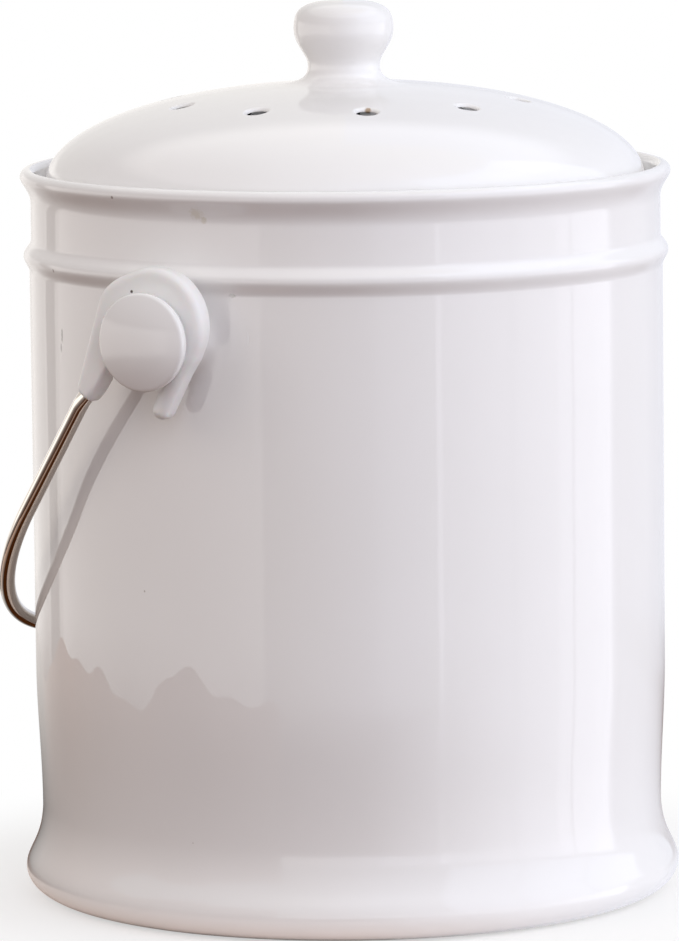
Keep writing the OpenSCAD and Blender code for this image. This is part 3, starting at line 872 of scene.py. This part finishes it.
# %% Outline of a hook: x along the bail, y across it
bore_r = stud_neck_r + 0.3
eye_r = bore_r + 6.4
eye_c = np.array([-3.3, 2.7])
arm_root_r = 0.6 * eye_r
arm_aim = radians(66)
arm_root = eye_c + (eye_r - arm_root_r + 3) * np.array([cos(arm_aim), sin(arm_aim)])
arm_end = np.array([arm_l, bail_off])
arm_tilt = atan2(arm_root[1] - arm_end[1], arm_end[0] - arm_root[0])
print(f"long arm tilts {arm_tilt * 180 / pi:.1f} degrees")


# %% Middle line of the wire
def side_line(side):
    """The wire from its end in a hook to the start of the bow, on one side."""
    bent = [(arm_l - tuck_r * sin(a), bail_off + tuck_r * (1 - cos(a)))
            for a in np.linspace(arm_tilt, 0, 13)]
    end = (bent[0][0] - grip_l * cos(arm_tilt), bent[0][1] + grip_l * sin(arm_tilt))
    inside = [(side * hook_mid, b, m) for b, m in [end, *bent]]
    outside_hook = [(side * (bend_c[0] + bend_r * cos(a)), bend_c[1] + bend_r * sin(a), bail_off)
                    for a in np.linspace(0, splay, 13)]
    return inside + outside_hook


bow = [(bow_r * cos(a), bow_c + bow_r * sin(a), bail_off)
       for a in np.linspace(splay, pi - splay, 97)]
wire_line = side_line(1) + bow[1:-1] + side_line(-1)[::-1]


def at_rest(points):
    """Swings points of the flat bail down to its rest and up to the height of the studs."""
    x, b, m = np.array(points, float).T
    c, s = cos(rest_angle), sin(rest_angle)
    return np.column_stack([x, b * c + m * s, m * c - b * s + stud_z])


print("middle line of the wire:", len(wire_line), "points")

# %% A tree that sweeps a circle along a line
sweep, given = new_tree("swept_wire", Radius="NodeSocketFloat", Sides="NodeSocketInt",
                        Material="NodeSocketMaterial")
path = add(sweep, "GeometryNodeMeshToCurve", {"Mesh": given["Geometry"]})
circle = add(sweep, "GeometryNodeCurvePrimitiveCircle",
             {"Resolution": given["Sides"], "Radius": given["Radius"]})
marked = []     # both curves keep how far along them a point lies, for the drawing marks
for curve, name, output in ((path, "along", "Length"), (circle, "around", "Factor")):
    way = add(sweep, "GeometryNodeSplineParameter").outputs[output]
    marked.append(add(sweep, "GeometryNodeStoreNamedAttribute",
                      {"Geometry": curve, "Name": name, "Value": way},
                      data_type="FLOAT", domain="POINT"))
tube = add(sweep, "GeometryNodeCurveToMesh",
           {"Curve": marked[0], "Profile Curve": marked[1], "Fill Caps": True})
end_tree(sweep, tube, given["Material"])

# %% Wire
wire = grown(thread("bail_rod", at_rest(wire_line)), sweep, Radius=wire_r * MM, Sides=40,
             Material=bright_wire)
face_outwards(wire)
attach(wire, "bail")
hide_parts("bail_wire")

# %% [markdown]
# ## The hooks
#
# A hook is a soft moulded shape: a round eye that runs out into a long arm and a short leg,
# with a mouth that snaps over the stud. Such a shape is easiest to give as a distance field,
# a function that says how far a point lies from the surface. Fields blend with a smooth
# minimum and are cut with a smooth maximum, so every edge comes out rounded. A skin is then
# laid over the field on a fine grid, and each point is slid onto the surface.


# %% Distance fields in the plane of a hook
def smooth_min(a, b, k):
    """The smaller of two distances, blended where they differ by less than k."""
    return np.minimum(a, b) - np.maximum(k - np.abs(a - b), 0) ** 2 / (4 * k)


def smooth_max(a, b, k):
    """The larger of two distances, blended in the same way."""
    return -smooth_min(-a, -b, k)


def tapered_bar(x, y, p, q, rp, rq):
    """Distance to a bar with round ends of different radii, exact outside."""
    pq = np.subtract(q, p)
    length = hypot(*pq)
    u = ((x - p[0]) * pq[0] + (y - p[1]) * pq[1]) / length
    v = np.abs((x - p[0]) * -pq[1] + (y - p[1]) * pq[0]) / length
    b = (rp - rq) / length
    a = sqrt(1 - b * b)
    k = -b * v + a * u
    middle = a * v + b * u - rp
    start = np.hypot(u, v) - rp
    end = np.hypot(u - length, v) - rq
    return np.where(k < 0, start, np.where(k > a * length, end, middle))


def polygon_distance(x, y, corners):
    """Signed distance to a polygon, negative inside."""
    best = np.full(x.shape, np.inf)
    inside = np.zeros(x.shape, bool)
    for (ax, ay), (bx, by) in zip(corners, corners[1:] + corners[:1]):
        ex, ey = bx - ax, by - ay
        t = np.clip(((x - ax) * ex + (y - ay) * ey) / (ex * ex + ey * ey), 0, 1)
        best = np.minimum(best, np.hypot(x - ax - t * ex, y - ay - t * ey))
        crosses = (ay > y) != (by > y)
        with np.errstate(divide="ignore", invalid="ignore"):
            inside ^= crosses & (x < ex * (y - ay) / ey + ax)
    return np.where(inside, -best, best)


# %% The hook as a field
leg_angle = radians(14)
leg_c = eye_c + np.array([0, leg_r - eye_r])
leg_end = leg_c + 17 * np.array([cos(leg_angle), -sin(leg_angle)])
snap = 0.5
throat_aim = radians(49)
throat = (bore_r - 2 * snap) * np.array([cos(throat_aim), sin(throat_aim)])
arm_nip = arm_end - np.array([5.5, 0.65 * leg_r])
mouth = [(0, 0), tuple(throat), tuple(arm_nip), (arm_l - 0.75 * leg_r, bail_off - leg_r),
         (arm_l + 12, 0), (arm_l + 12, snap - bore_r), (0, snap - bore_r)]
edge_round = 0.36 * hook_t
arm_blend, leg_blend = 3.0, 1.5      # how wide the corners are where they leave the eye
cut_blend, mouth_blend = 0.9, 1.6    # how far the edges of the cuts are rounded
arm_tip = arm_end + np.array([3.0, -0.2])
arm_stop = arm_l + leg_r     # the arm is cut off square where the wire comes out


def hook_field(b, m, x):
    """Distance to a hook whose bore lies on the x axis."""
    eye = np.hypot(b - eye_c[0], m - eye_c[1]) - eye_r
    arm = tapered_bar(b, m, arm_root, arm_tip, arm_root_r, leg_r - 0.25)
    leg = tapered_bar(b, m, leg_c, leg_end, leg_r, 0.82 * leg_r)
    flat = smooth_min(smooth_min(eye, arm, arm_blend), leg, leg_blend)
    p, q = flat + edge_round, np.abs(x) - (hook_t / 2 - edge_round)
    body = np.minimum(np.maximum(p, q), 0) + np.hypot(np.maximum(p, 0), np.maximum(q, 0))
    body -= edge_round
    body = smooth_max(body, b - arm_stop, cut_blend)
    bored = smooth_max(body, bore_r - np.hypot(b, m), cut_blend)
    return smooth_max(bored, -polygon_distance(b, m, mouth), mouth_blend)


print(f"hook {hook_t:.1f} thick, bore {bore_r:.1f}, mouth of {len(mouth)} corners")

# %% Points of a skin
def cell_points(value):
    """Numbers the grid cells that the surface crosses, and finds the middle of its crossings."""
    total, count = np.zeros(tuple(n - 1 for n in value.shape) + (3,)), 0
    steps = [(0, 0, 0), (1, 0, 0), (0, 1, 0), (1, 1, 0), (0, 0, 1), (1, 0, 1), (0, 1, 1),
             (1, 1, 1)]
    cells = [slice(s, n - 1 + s) for s in (0, 1) for n in value.shape]
    for a in steps:
        for axis in range(3):
            if a[axis]:
                continue
            b = tuple(c + (k == axis) for k, c in enumerate(a))
            va, vb = (value[tuple(cells[k + 3 * corner[k]] for k in range(3))]
                      for corner in (a, b))
            crossed = (va < 0) != (vb < 0)
            t = np.where(crossed, va / np.where(crossed, va - vb, 1), 0)
            for k in range(3):
                total[..., k] += crossed * (a[k] + (t if k == axis else 0))
            count = count + crossed
    active = count > 0
    number = np.full(active.shape, -1)
    number[active] = np.arange(active.sum())
    return number, np.argwhere(active) + total[active] / count[active][:, None]


# %% Faces of a skin
def cell_faces(solid, number):
    """A face between the four cells round each grid edge that goes in or out of the solid."""
    faces = []
    for axis in range(3):
        u, v = (axis + 1) % 3, (axis + 2) % 3
        one = [slice(1, -1)] * 3
        two = [slice(1, -1)] * 3
        one[axis], two[axis] = slice(0, -1), slice(1, None)
        before, after = solid[tuple(one)], solid[tuple(two)]
        where = np.argwhere(before != after)
        where[:, u] += 1
        where[:, v] += 1
        quad = []
        for du, dv in ((0, 0), (-1, 0), (-1, -1), (0, -1)):
            cell = where.copy()
            cell[:, u] += du
            cell[:, v] += dv
            quad.append(number[tuple(cell.T)])
        quad = np.column_stack(quad)
        leaving = before[before != after]
        faces.append(np.where(leaving[:, None], quad, quad[:, ::-1]))
    return np.vstack(faces)


# %% Lay a skin over a field
def skin_over(field, low, high, step):
    """Points and four-sided faces of the surface where a field is nought."""
    axes = [np.arange(lo, hi + step, step) for lo, hi in zip(low, high)]
    value = field(*np.meshgrid(*axes, indexing="ij"))
    number, middles = cell_points(value)
    points = np.array(low) + step * middles
    return slid_onto(field, points, 0.02), cell_faces(value < 0, number)


def slid_onto(field, points, h):
    """Moves points along the slope of a field until they lie where it is nought."""
    for _ in range(4):
        x, y, z = points.T
        slope = np.column_stack([
            field(x + h, y, z) - field(x - h, y, z),
            field(x, y + h, z) - field(x, y - h, z),
            field(x, y, z + h) - field(x, y, z - h)]) / (2 * h)
        size = np.maximum((slope ** 2).sum(1), 0.05)
        points = points - slope * (field(x, y, z) / size)[:, None]
    return points


# %% Hooks
skin_step = 0.45
field_low, field_high = (-22, -21, -hook_t / 2 - 1), (32, 24, hook_t / 2 + 1)
hook_points, hook_faces = skin_over(hook_field, field_low, field_high, skin_step)


def make_hook(name, node, side):
    """A hook on the side -1 or 1 of the crock."""
    b, m, x = hook_points.T
    placed = at_rest(np.column_stack([side * (hook_mid + x), b, m]))
    piece = mesh_object(name, placed.tolist(), [], hook_faces.tolist())
    piece.data.shade_smooth()
    piece.data.materials.append(hook_plastic)
    face_outwards(piece)
    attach(piece, "bail")
    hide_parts(node)


make_hook("hook_front", "front_hook", -1)
make_hook("hook_rear", "rear_hook", 1)

# %% [markdown]
# ## The filter
#
# The pads show only when the lid is lifted. Each is a soft-edged disc, and loose fibres stand
# out of it. A tree scatters them with a fixed seed, so every run gives the same ones.


# %% Outline of a pad
def pad_outline(low, high, edge):
    """Half section of a flat pad with rounded edges."""
    return joined((0, low), line((0, low), (pad_r - edge, low), 30),
                  arc((pad_r - edge, low + edge), edge, edge, -90, 0, 8),
                  arc((pad_r - edge, high - edge), edge, edge, 0, 90, 8),
                  line((pad_r - edge, high), (0, high), 30))


# %% A tree that scatters loose fibres over a surface
fibres, given = new_tree("loose_fibres", Density="NodeSocketFloat", Length="NodeSocketFloat",
                         Seed="NodeSocketInt", Material="NodeSocketMaterial")
spots = add(fibres, "GeometryNodeDistributePointsOnFaces",
            {"Mesh": given["Geometry"], "Density": given["Density"], "Seed": given["Seed"]})
half, back, lift = (add(fibres, "ShaderNodeMath", {0: given["Length"], 1: part},
                        operation="MULTIPLY") for part in (0.5, -0.5, 0.09))
start, middle, end = (add(fibres, "ShaderNodeCombineXYZ", parts)
                      for parts in ({0: back}, {1: lift, 2: lift}, {0: half}))
hair = add(fibres, "GeometryNodeCurveQuadraticBezier",
           {"Resolution": 3, "Start": start, "Middle": middle, "End": end})
thin = add(fibres, "GeometryNodeCurvePrimitiveCircle", {"Resolution": 3, "Radius": 0.07 * MM})
strand = add(fibres, "GeometryNodeCurveToMesh", {"Curve": hair, "Profile Curve": thin})
spin = add(fibres, "FunctionNodeRandomValue",
           {2: 0.0, 3: 2 * pi, "Seed": given["Seed"]}, data_type="FLOAT").outputs[1]
spun = add(fibres, "ShaderNodeCombineXYZ", {2: spin})
facing = add(fibres, "FunctionNodeRotateRotation",
             {0: spots.outputs["Rotation"], 1: spun}, rotation_space="LOCAL")
laid = add(fibres, "GeometryNodeInstanceOnPoints",
           {"Points": spots, "Instance": strand, "Rotation": facing})
both = add(fibres, "GeometryNodeJoinGeometry", {"Geometry": laid})
fibres.links.new(given["Geometry"], both.inputs[0])
end_tree(fibres, both, given["Material"])


# %% Pads
def make_pad(name, node, low, high, edge, material, seed):
    """A pad turned on the lathe, with loose fibres laid over it."""
    piece = on_lathe(name, pad_outline(low, high, edge), 120, material)
    face_outwards(piece)
    grown(piece, fibres, Density=90000.0, Length=5 * MM, Seed=seed, Material=material)
    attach(piece, "filter")
    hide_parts(node)


make_pad("charcoal_pad", "filter_carbon_pad", pad_low + 0.1, pad_high - 0.1, 1.2, charcoal,
         3)
make_pad("fleece_pad", "filter_fleece", fleece_low + 0.1, pad_low - 0.1, 0.8, fleece,
         5)

# %% [markdown]
# ## Floor
#
# The camera sees a pale floor that turns white further out, with the soft shadow of the
# caddy close by. Light that bounces off it tells more: the foot stands on a white sheet, and
# past the edge of the sheet lies a brown worktop, painted darkest on the front left and paler
# away from it, as painted shade. The sheet is painted warmer on the side away from the window,
# as painted bounce light. The undersides of the rim and the bead take a brown tone from it.
# In the gloss the wood is a darker copy, painted shade, made paler towards the window as
# painted light, and it fades out with distance. Past it the room shows.

# %% Sizes of the floor
floor_half, floor_low = 14000.0, -0.05
shadow_near, shadow_far = 90.0, 190.0      # where the floor begins to turn white, and is white
sheet_near, sheet_far = 108.0, 116.0       # the soft edge of the sheet
wood_near, wood_far = 230.0, 730.0         # where the mirrored wood begins to fade, and is gone
hill_w, hill_d = 160.0, 120.0              # how wide and how deep that fading edge wanders
# A way on the floor, and the cosines from it at which a blend starts and ends. Towards the
# window the floor is painted paler, as painted light. Along the other way the wood is painted
# darkest, as painted shade.
window_way, window_range = (0.3666, -0.9303, 0.0), (0.2, 0.9)
shaded_wood_way, shaded_wood_range = (-0.9981, 0.061, 0.0), (0.92, 0.22)
print(f"sheet to {sheet_far:.0f}, mirrored wood gone past {wood_far:.0f}")

# %% Sheet and worktop, with painted light and shade by the side they lie on
floor_paint, tree, mm = new_material("pale_floor")
far = add(tree, "ShaderNodeVectorMath", {0: mm}, operation="LENGTH").outputs["Value"]
outward = add(tree, "ShaderNodeVectorMath", {0: mm}, operation="NORMALIZE")
sides = []
for way, (first, last) in ((window_way, window_range), (shaded_wood_way, shaded_wood_range)):
    cosine = add(tree, "ShaderNodeVectorMath", {0: outward, 1: way}, operation="DOT_PRODUCT")
    sides.append(add(tree, "ShaderNodeMapRange",
                     {0: cosine.outputs["Value"], 1: first, 2: last}))
window_side, off_shaded_wood = sides
off_sheet = add(tree, "ShaderNodeMapRange", {0: far, 1: sheet_near, 2: sheet_far},
                interpolation_type="SMOOTHSTEP")
# The sheet is painted warmer on the side away from the window: painted bounce light.
sheet = add(tree, "ShaderNodeMix",
            {0: window_side, 6: hex_colour("#F5E8E0"), 7: hex_colour("#FAF8F8")},
            data_type="RGBA").outputs[2]


def worktop(painted_lit_share, dark):
    """Dull sheet and the wood round it. Painted light makes the wood paler where the share given
    is high.
    """
    wood = add(tree, "ShaderNodeMix",
               {0: painted_lit_share, 6: hex_colour(dark), 7: hex_colour("#CBC0BC")},
               data_type="RGBA").outputs[2]
    colour = add(tree, "ShaderNodeMix", {0: off_sheet, 6: sheet, 7: wood},
                 data_type="RGBA").outputs[2]
    return add(tree, "ShaderNodeBsdfDiffuse", {"Color": colour})


# %% What the gloss mirrors of the floor: a darker, painted-lit copy of the wood that fades out and lets the room show
hills = add(tree, "ShaderNodeTexNoise", {"Vector": mm, "Scale": 1 / hill_w, "Detail": 2.0})
wandered = add(tree, "ShaderNodeMath", {0: hills, 1: hill_d, 2: far}, operation="MULTIPLY_ADD")
past_wood = add(tree, "ShaderNodeMapRange", {0: wandered, 1: wood_near, 2: wood_far},
                interpolation_type="SMOOTHSTEP")
faded = add(tree, "ShaderNodeMath", {0: past_wood, 1: window_side}, operation="MAXIMUM")
clear = add(tree, "ShaderNodeBsdfTransparent")
mirrored = add(tree, "ShaderNodeMixShader",
               {0: faded, 1: worktop(window_side, "#5A3216"), 2: clear})
print("mirrored floor:", len(tree.nodes), "nodes so far")

# %% What the camera sees: a pale floor that takes the shadow, and turns white further out
pale = add(tree, "ShaderNodeBsdfDiffuse", {"Color": hex_colour("#F6F4F3")})
white = add(tree, "ShaderNodeEmission", {"Color": (1, 1, 1, 1), "Strength": 1.0})
whiter = add(tree, "ShaderNodeMapRange",
             {0: far, 1: shadow_near, 2: shadow_far, 3: 0.55, 4: 1.0},
             interpolation_type="SMOOTHSTEP")
shown = add(tree, "ShaderNodeMixShader", {0: whiter, 1: pale, 2: white})
print(f"floor white past {shadow_far:.0f}")


# %% Floor
def staged(name, points, faces, material):
    """Plain mesh with a material, for the stage."""
    made = mesh_object(name, points, [], faces)
    made.data.materials.append(material)
    material.cycles.emission_sampling = "NONE"
    return made


# Bounce light sees the wood painted darkest on the front left, as painted shade. The gloss sees a
# darker painted copy of it.
ray = add(tree, "ShaderNodeLightPath").outputs
unseen = add(tree, "ShaderNodeMixShader",
             {0: ray["Is Glossy Ray"], 1: worktop(off_shaded_wood, "#623C20"), 2: mirrored})
whole = add(tree, "ShaderNodeMixShader", {0: ray["Is Camera Ray"], 1: unseen, 2: shown})
add(tree, "ShaderNodeOutputMaterial", {"Surface": whole})
floor = staged("floor", [(x * floor_half, y * floor_half, floor_low)
                         for x, y in ((-1, -1), (1, -1), (1, 1), (-1, 1))],
               [(0, 1, 2, 3)], floor_paint)
print("floor:", len(tree.nodes), "nodes")

# %% [markdown]
# A low brown card with an uneven top stands left of the crock, as a heap of things on a
# worktop would. It is no lamp, yet it glows by its own emission, dimmer towards its foot: a
# painted reflection. Only the gloss shows it, as a soft line near the foot.

# %% Glowing card for the gloss, a painted reflection
card_r, card_h, card_columns = 168.0, 54.0, 100
camera_turn = -58.5                        # degrees round the crock from -Y to the camera
card_paint, tree, mm = new_material("glowing_card_for_painted_reflection")
patches = add(tree, "ShaderNodeTexNoise", {"Vector": mm, "Scale": 1 / 25, "Detail": 3.0})
brown = add(tree, "ShaderNodeMix",
            {0: patches, 6: hex_colour("#EBC3AE"), 7: hex_colour("#F6D6C4")},
            data_type="RGBA").outputs[2]
pale, strength = (add(tree, "ShaderNodeAttribute", attribute_name=name).outputs["Fac"]
                  for name in ("pale", "glow"))
tone = add(tree, "ShaderNodeMix", {0: pale, 6: brown, 7: hex_colour("#F6F2EE")},
           data_type="RGBA").outputs[2]
# The card glows by emission though it is no lamp: its light is a painted reflection.
shine = add(tree, "ShaderNodeEmission", {"Color": tone, "Strength": strength})
add(tree, "ShaderNodeOutputMaterial", {"Surface": shine})

turn = np.linspace(-150.0, -19.0, card_columns)      # degrees from the camera's side
heap = sum(height * np.sin(np.radians(waves * turn) + start)
           for height, waves, start in ((5.5, 7.0, 0.4), (3.5, 13.0, 0.0), (1.5, 31.0, 0.0)))
around = np.radians(turn + camera_turn)
foot_line = np.column_stack([card_r * np.sin(around), -card_r * np.cos(around), 0 * around])
top_line = foot_line + np.column_stack([0 * around, 0 * around, card_h + heap])
card = staged("brown_card", np.vstack([foot_line, top_line]).tolist(),
              [(i, i + 1, card_columns + i + 1, card_columns + i)
               for i in range(card_columns - 1)], card_paint)
# How brightly each column glows, with a tenth of that at the foot and a pale far end. This is
# painted reflection that darkens towards the foot.
glow = np.interp(turn, (-125, -85, -60, -19), (1.05, 0.95, 0.8, 0.8))
for name, values in (("glow", [0.1 * glow, glow]),
                     ("pale", [np.interp(turn, (-125, -95), (1.0, 0.0))] * 2)):
    card.data.attributes.new(name, "FLOAT", "POINT").data.foreach_set(
        "value", np.concatenate(values))
card.visible_camera = card.visible_diffuse = False
card.visible_shadow = card.visible_transmission = False
print("card:", card_columns, "columns")

# %% [markdown]
# ## Camera
#
# The camera stands about two metres away with a long lens, a little above the rim, so the
# foot and the rim show as flat ovals and the sides hardly converge.

# %% Camera
cam_azimuth = radians(camera_turn)
cam_distance, cam_height = 1938.4, 368.0
cam_tilt, cam_pan, cam_roll = 0.1275, -0.0013, -0.0114
focal_px, picture_side = 6860.1, 941
ahead = Vector((sin(cam_pan) * cos(cam_tilt), cos(cam_pan) * cos(cam_tilt), -sin(cam_tilt)))
level = Vector((cos(cam_pan), -sin(cam_pan), 0))
raised = level.cross(ahead)
right = cos(cam_roll) * level + sin(cam_roll) * raised
up = -sin(cam_roll) * level + cos(cam_roll) * raised
turned_in = Matrix((right, up, -ahead)).transposed().to_4x4()
swung = Matrix.Rotation(cam_azimuth, 4, "Z")
camera_data = bpy.data.cameras.new("camera")
camera_data.sensor_width = 36.0
camera_data.lens = focal_px * camera_data.sensor_width / picture_side
camera_data.clip_start, camera_data.clip_end = 0.05, 100.0
camera = in_scene("camera", camera_data)
stand = Matrix.Translation((0, -cam_distance * MM, cam_height * MM))
camera.matrix_world = swung @ stand @ turned_in
bpy.context.scene.camera = camera
print("lens", round(camera_data.lens, 1), "at", [round(c, 3) for c in camera.location])


# %% [markdown]
# ## Light
#
# White glaze needs large soft lamps, or it shows hard spots. The strongest stands on the
# right, and weaker ones in front, left, behind and above, which gives the slow fall from
# bright to grey across the body. The world adds a low, even fill. What the gloss mirrors is
# a quiet room: pale walls with a few upright edges at eye level, a tall window with two bars
# on the right, and a bright plain ceiling. Between eye level and the ceiling the room is
# calmer, so that edges seen at a slant stay clear of the white background.

# %% Lamps
lamp_target = Vector((0, 0, 0.12))


def soft_lamp(name, azimuth, elevation, distance, side, power, colour):
    """Square lamp that faces the caddy, placed by angles seen from the camera's side."""
    data = bpy.data.lights.new(name, "AREA")
    data.shape = "SQUARE"
    data.size = side
    data.energy = power
    data.color = hex_colour(colour)[:3]
    lamp = in_scene(name, data)
    a, e = cam_azimuth + radians(azimuth), radians(elevation)
    out = Vector((sin(a) * cos(e), -cos(a) * cos(e), sin(e)))
    lamp.location = lamp_target + distance * out
    lamp.rotation_euler = (-out).to_track_quat("-Z", "Y").to_euler()
    lamp.visible_camera = lamp.visible_glossy = False


# Degrees to the right and up, metres away and across, watts, colour.
lamps = [("lamp_right", 76, 22, 1.8, 1.5, 18.2, "#EDF3FF"),
         ("lamp_front", 6, 20, 1.8, 1.5, 7.1, "#E7E9FD"),
         ("lamp_left", -66, 34, 1.8, 1.2, 6.0, "#FFEFE3"),
         ("lamp_back", 175, 20, 1.8, 1.5, 7.5, "#FFFFFF"),
         ("lamp_above", 30, 48, 1.7, 1.2, 3.6, "#FFFFFF")]
for lamp in lamps:
    soft_lamp(*lamp)
print(len(lamps), "lamps,", round(sum(lamp[5] for lamp in lamps), 1), "W")

# %% Directions in the room, in degrees
world = bpy.data.worlds.new("quiet_room")
bpy.context.scene.world = world
world.use_nodes = True
tree = world.node_tree
tree.nodes.clear()
direction = add(tree, "ShaderNodeTexCoord").outputs["Generated"]
level_out = add(tree, "ShaderNodeVectorRotate",
                {"Vector": direction, "Angle": -cam_azimuth}, rotation_type="Z_AXIS")
x, y, z = add(tree, "ShaderNodeSeparateXYZ", {0: level_out}).outputs
back_y = add(tree, "ShaderNodeMath", {0: y, 1: -1.0}, operation="MULTIPLY")
height_rad = add(tree, "ShaderNodeMath", {0: z}, operation="ARCSINE")
side_rad = add(tree, "ShaderNodeMath", {0: x, 1: back_y}, operation="ARCTAN2")
height_deg, side_deg = (add(tree, "ShaderNodeMath", {0: angle, 1: 180 / pi},
                            operation="MULTIPLY") for angle in (height_rad, side_rad))


def between(value, low, high, soft_edge):
    """1 between two angles, 0 outside, with a soft edge."""
    up, down = (add(tree, "ShaderNodeMapRange", {0: value, 1: first, 2: last},
                    interpolation_type="SMOOTHSTEP")
                for first, last in ((low - soft_edge, low + soft_edge),
                                    (high + soft_edge, high - soft_edge)))
    return add(tree, "ShaderNodeMath", {0: up, 1: down}, operation="MULTIPLY")


# %% Walls and ceiling, by their strength
above_low, below_high, ceiling, below_top = (
    add(tree, "ShaderNodeMapRange", {0: height_deg, 1: first, 2: last},
        interpolation_type="SMOOTHSTEP")
    for first, last in ((-19, -13), (9, 4), (34, 46), (64, 56)))
eye_level = add(tree, "ShaderNodeMath", {0: above_low, 1: below_high}, operation="MULTIPLY")
strength = 1.05
for amount, where in ((0.8, eye_level), (0.9, ceiling)):
    strength = add(tree, "ShaderNodeMath", {0: where, 1: amount, 2: strength},
                   operation="MULTIPLY_ADD")
# Upright bands at eye level: how much brighter, from and to which side, how soft the edges.
for amount, low, high, soft_edge in (
        (0.4, -129, -31, 0.8), (-0.3, -31, 10, 0.8), (0.35, 32, 110, 0.8), (0.8, 32, 34, 0.4),
        (-0.5, 61, 62.5, 0.5), (0.4, 82, 111, 0.8), (-0.9, 88.5, 90, 0.4), (-0.75, 112, 200, 3),
        (-0.15, 142, 200, 6), (-0.4, -200, -165, 6), (-0.35, -200, -142, 3),
        (-0.8, -141, -132, 0.8)):
    band = add(tree, "ShaderNodeMath",
               {0: eye_level, 1: between(side_deg, low, high, soft_edge)}, operation="MULTIPLY")
    strength = add(tree, "ShaderNodeMath", {0: band, 1: amount, 2: strength},
                   operation="MULTIPLY_ADD")
print("walls:", len(tree.nodes), "nodes so far")

# %% Window, a pane with darker bars that cools the walls near it
pane = add(tree, "ShaderNodeMath",
           {0: between(side_deg, 36, 124, 1.5), 1: between(height_deg, 9, 59, 1.5)},
           operation="MULTIPLY")
for low, high in ((64, 66), (95, 97)):
    shaded = add(tree, "ShaderNodeMapRange",
                 {0: between(side_deg, low, high, 0.5), 3: 1.0, 4: 0.3})
    pane = add(tree, "ShaderNodeMath", {0: pane, 1: shaded}, operation="MULTIPLY")
strength = add(tree, "ShaderNodeMath", {0: pane, 1: strength}, operation="ADD")
cool = add(tree, "ShaderNodeMath", {0: between(side_deg, -5, 190, 25), 1: below_top},
           operation="MULTIPLY")
walls = add(tree, "ShaderNodeMix",
            {0: cool, 6: hex_colour("#F8F5F2"), 7: hex_colour("#F3F5FF")},
            data_type="RGBA").outputs[2]
room = add(tree, "ShaderNodeMix", {0: pane, 6: walls, 7: hex_colour("#EAF0FF")},
           data_type="RGBA").outputs[2]
print("window:", len(tree.nodes), "nodes so far")

# %% World
mirrored, fill, backdrop = (
    add(tree, "ShaderNodeBackground", {"Color": colour, "Strength": power})
    for colour, power in ((room, strength), (hex_colour("#FAFAFB"), 0.51), ((1, 1, 1, 1), 1.0)))
ray = add(tree, "ShaderNodeLightPath").outputs
lit = add(tree, "ShaderNodeMixShader", {0: ray["Is Glossy Ray"], 1: fill, 2: mirrored})
whole = add(tree, "ShaderNodeMixShader", {0: ray["Is Camera Ray"], 1: lit, 2: backdrop})
add(tree, "ShaderNodeOutputWorld", {"Surface": whole})
bpy.context.scene.view_settings.view_transform = "Standard"
print("room:", len(tree.nodes), "nodes")
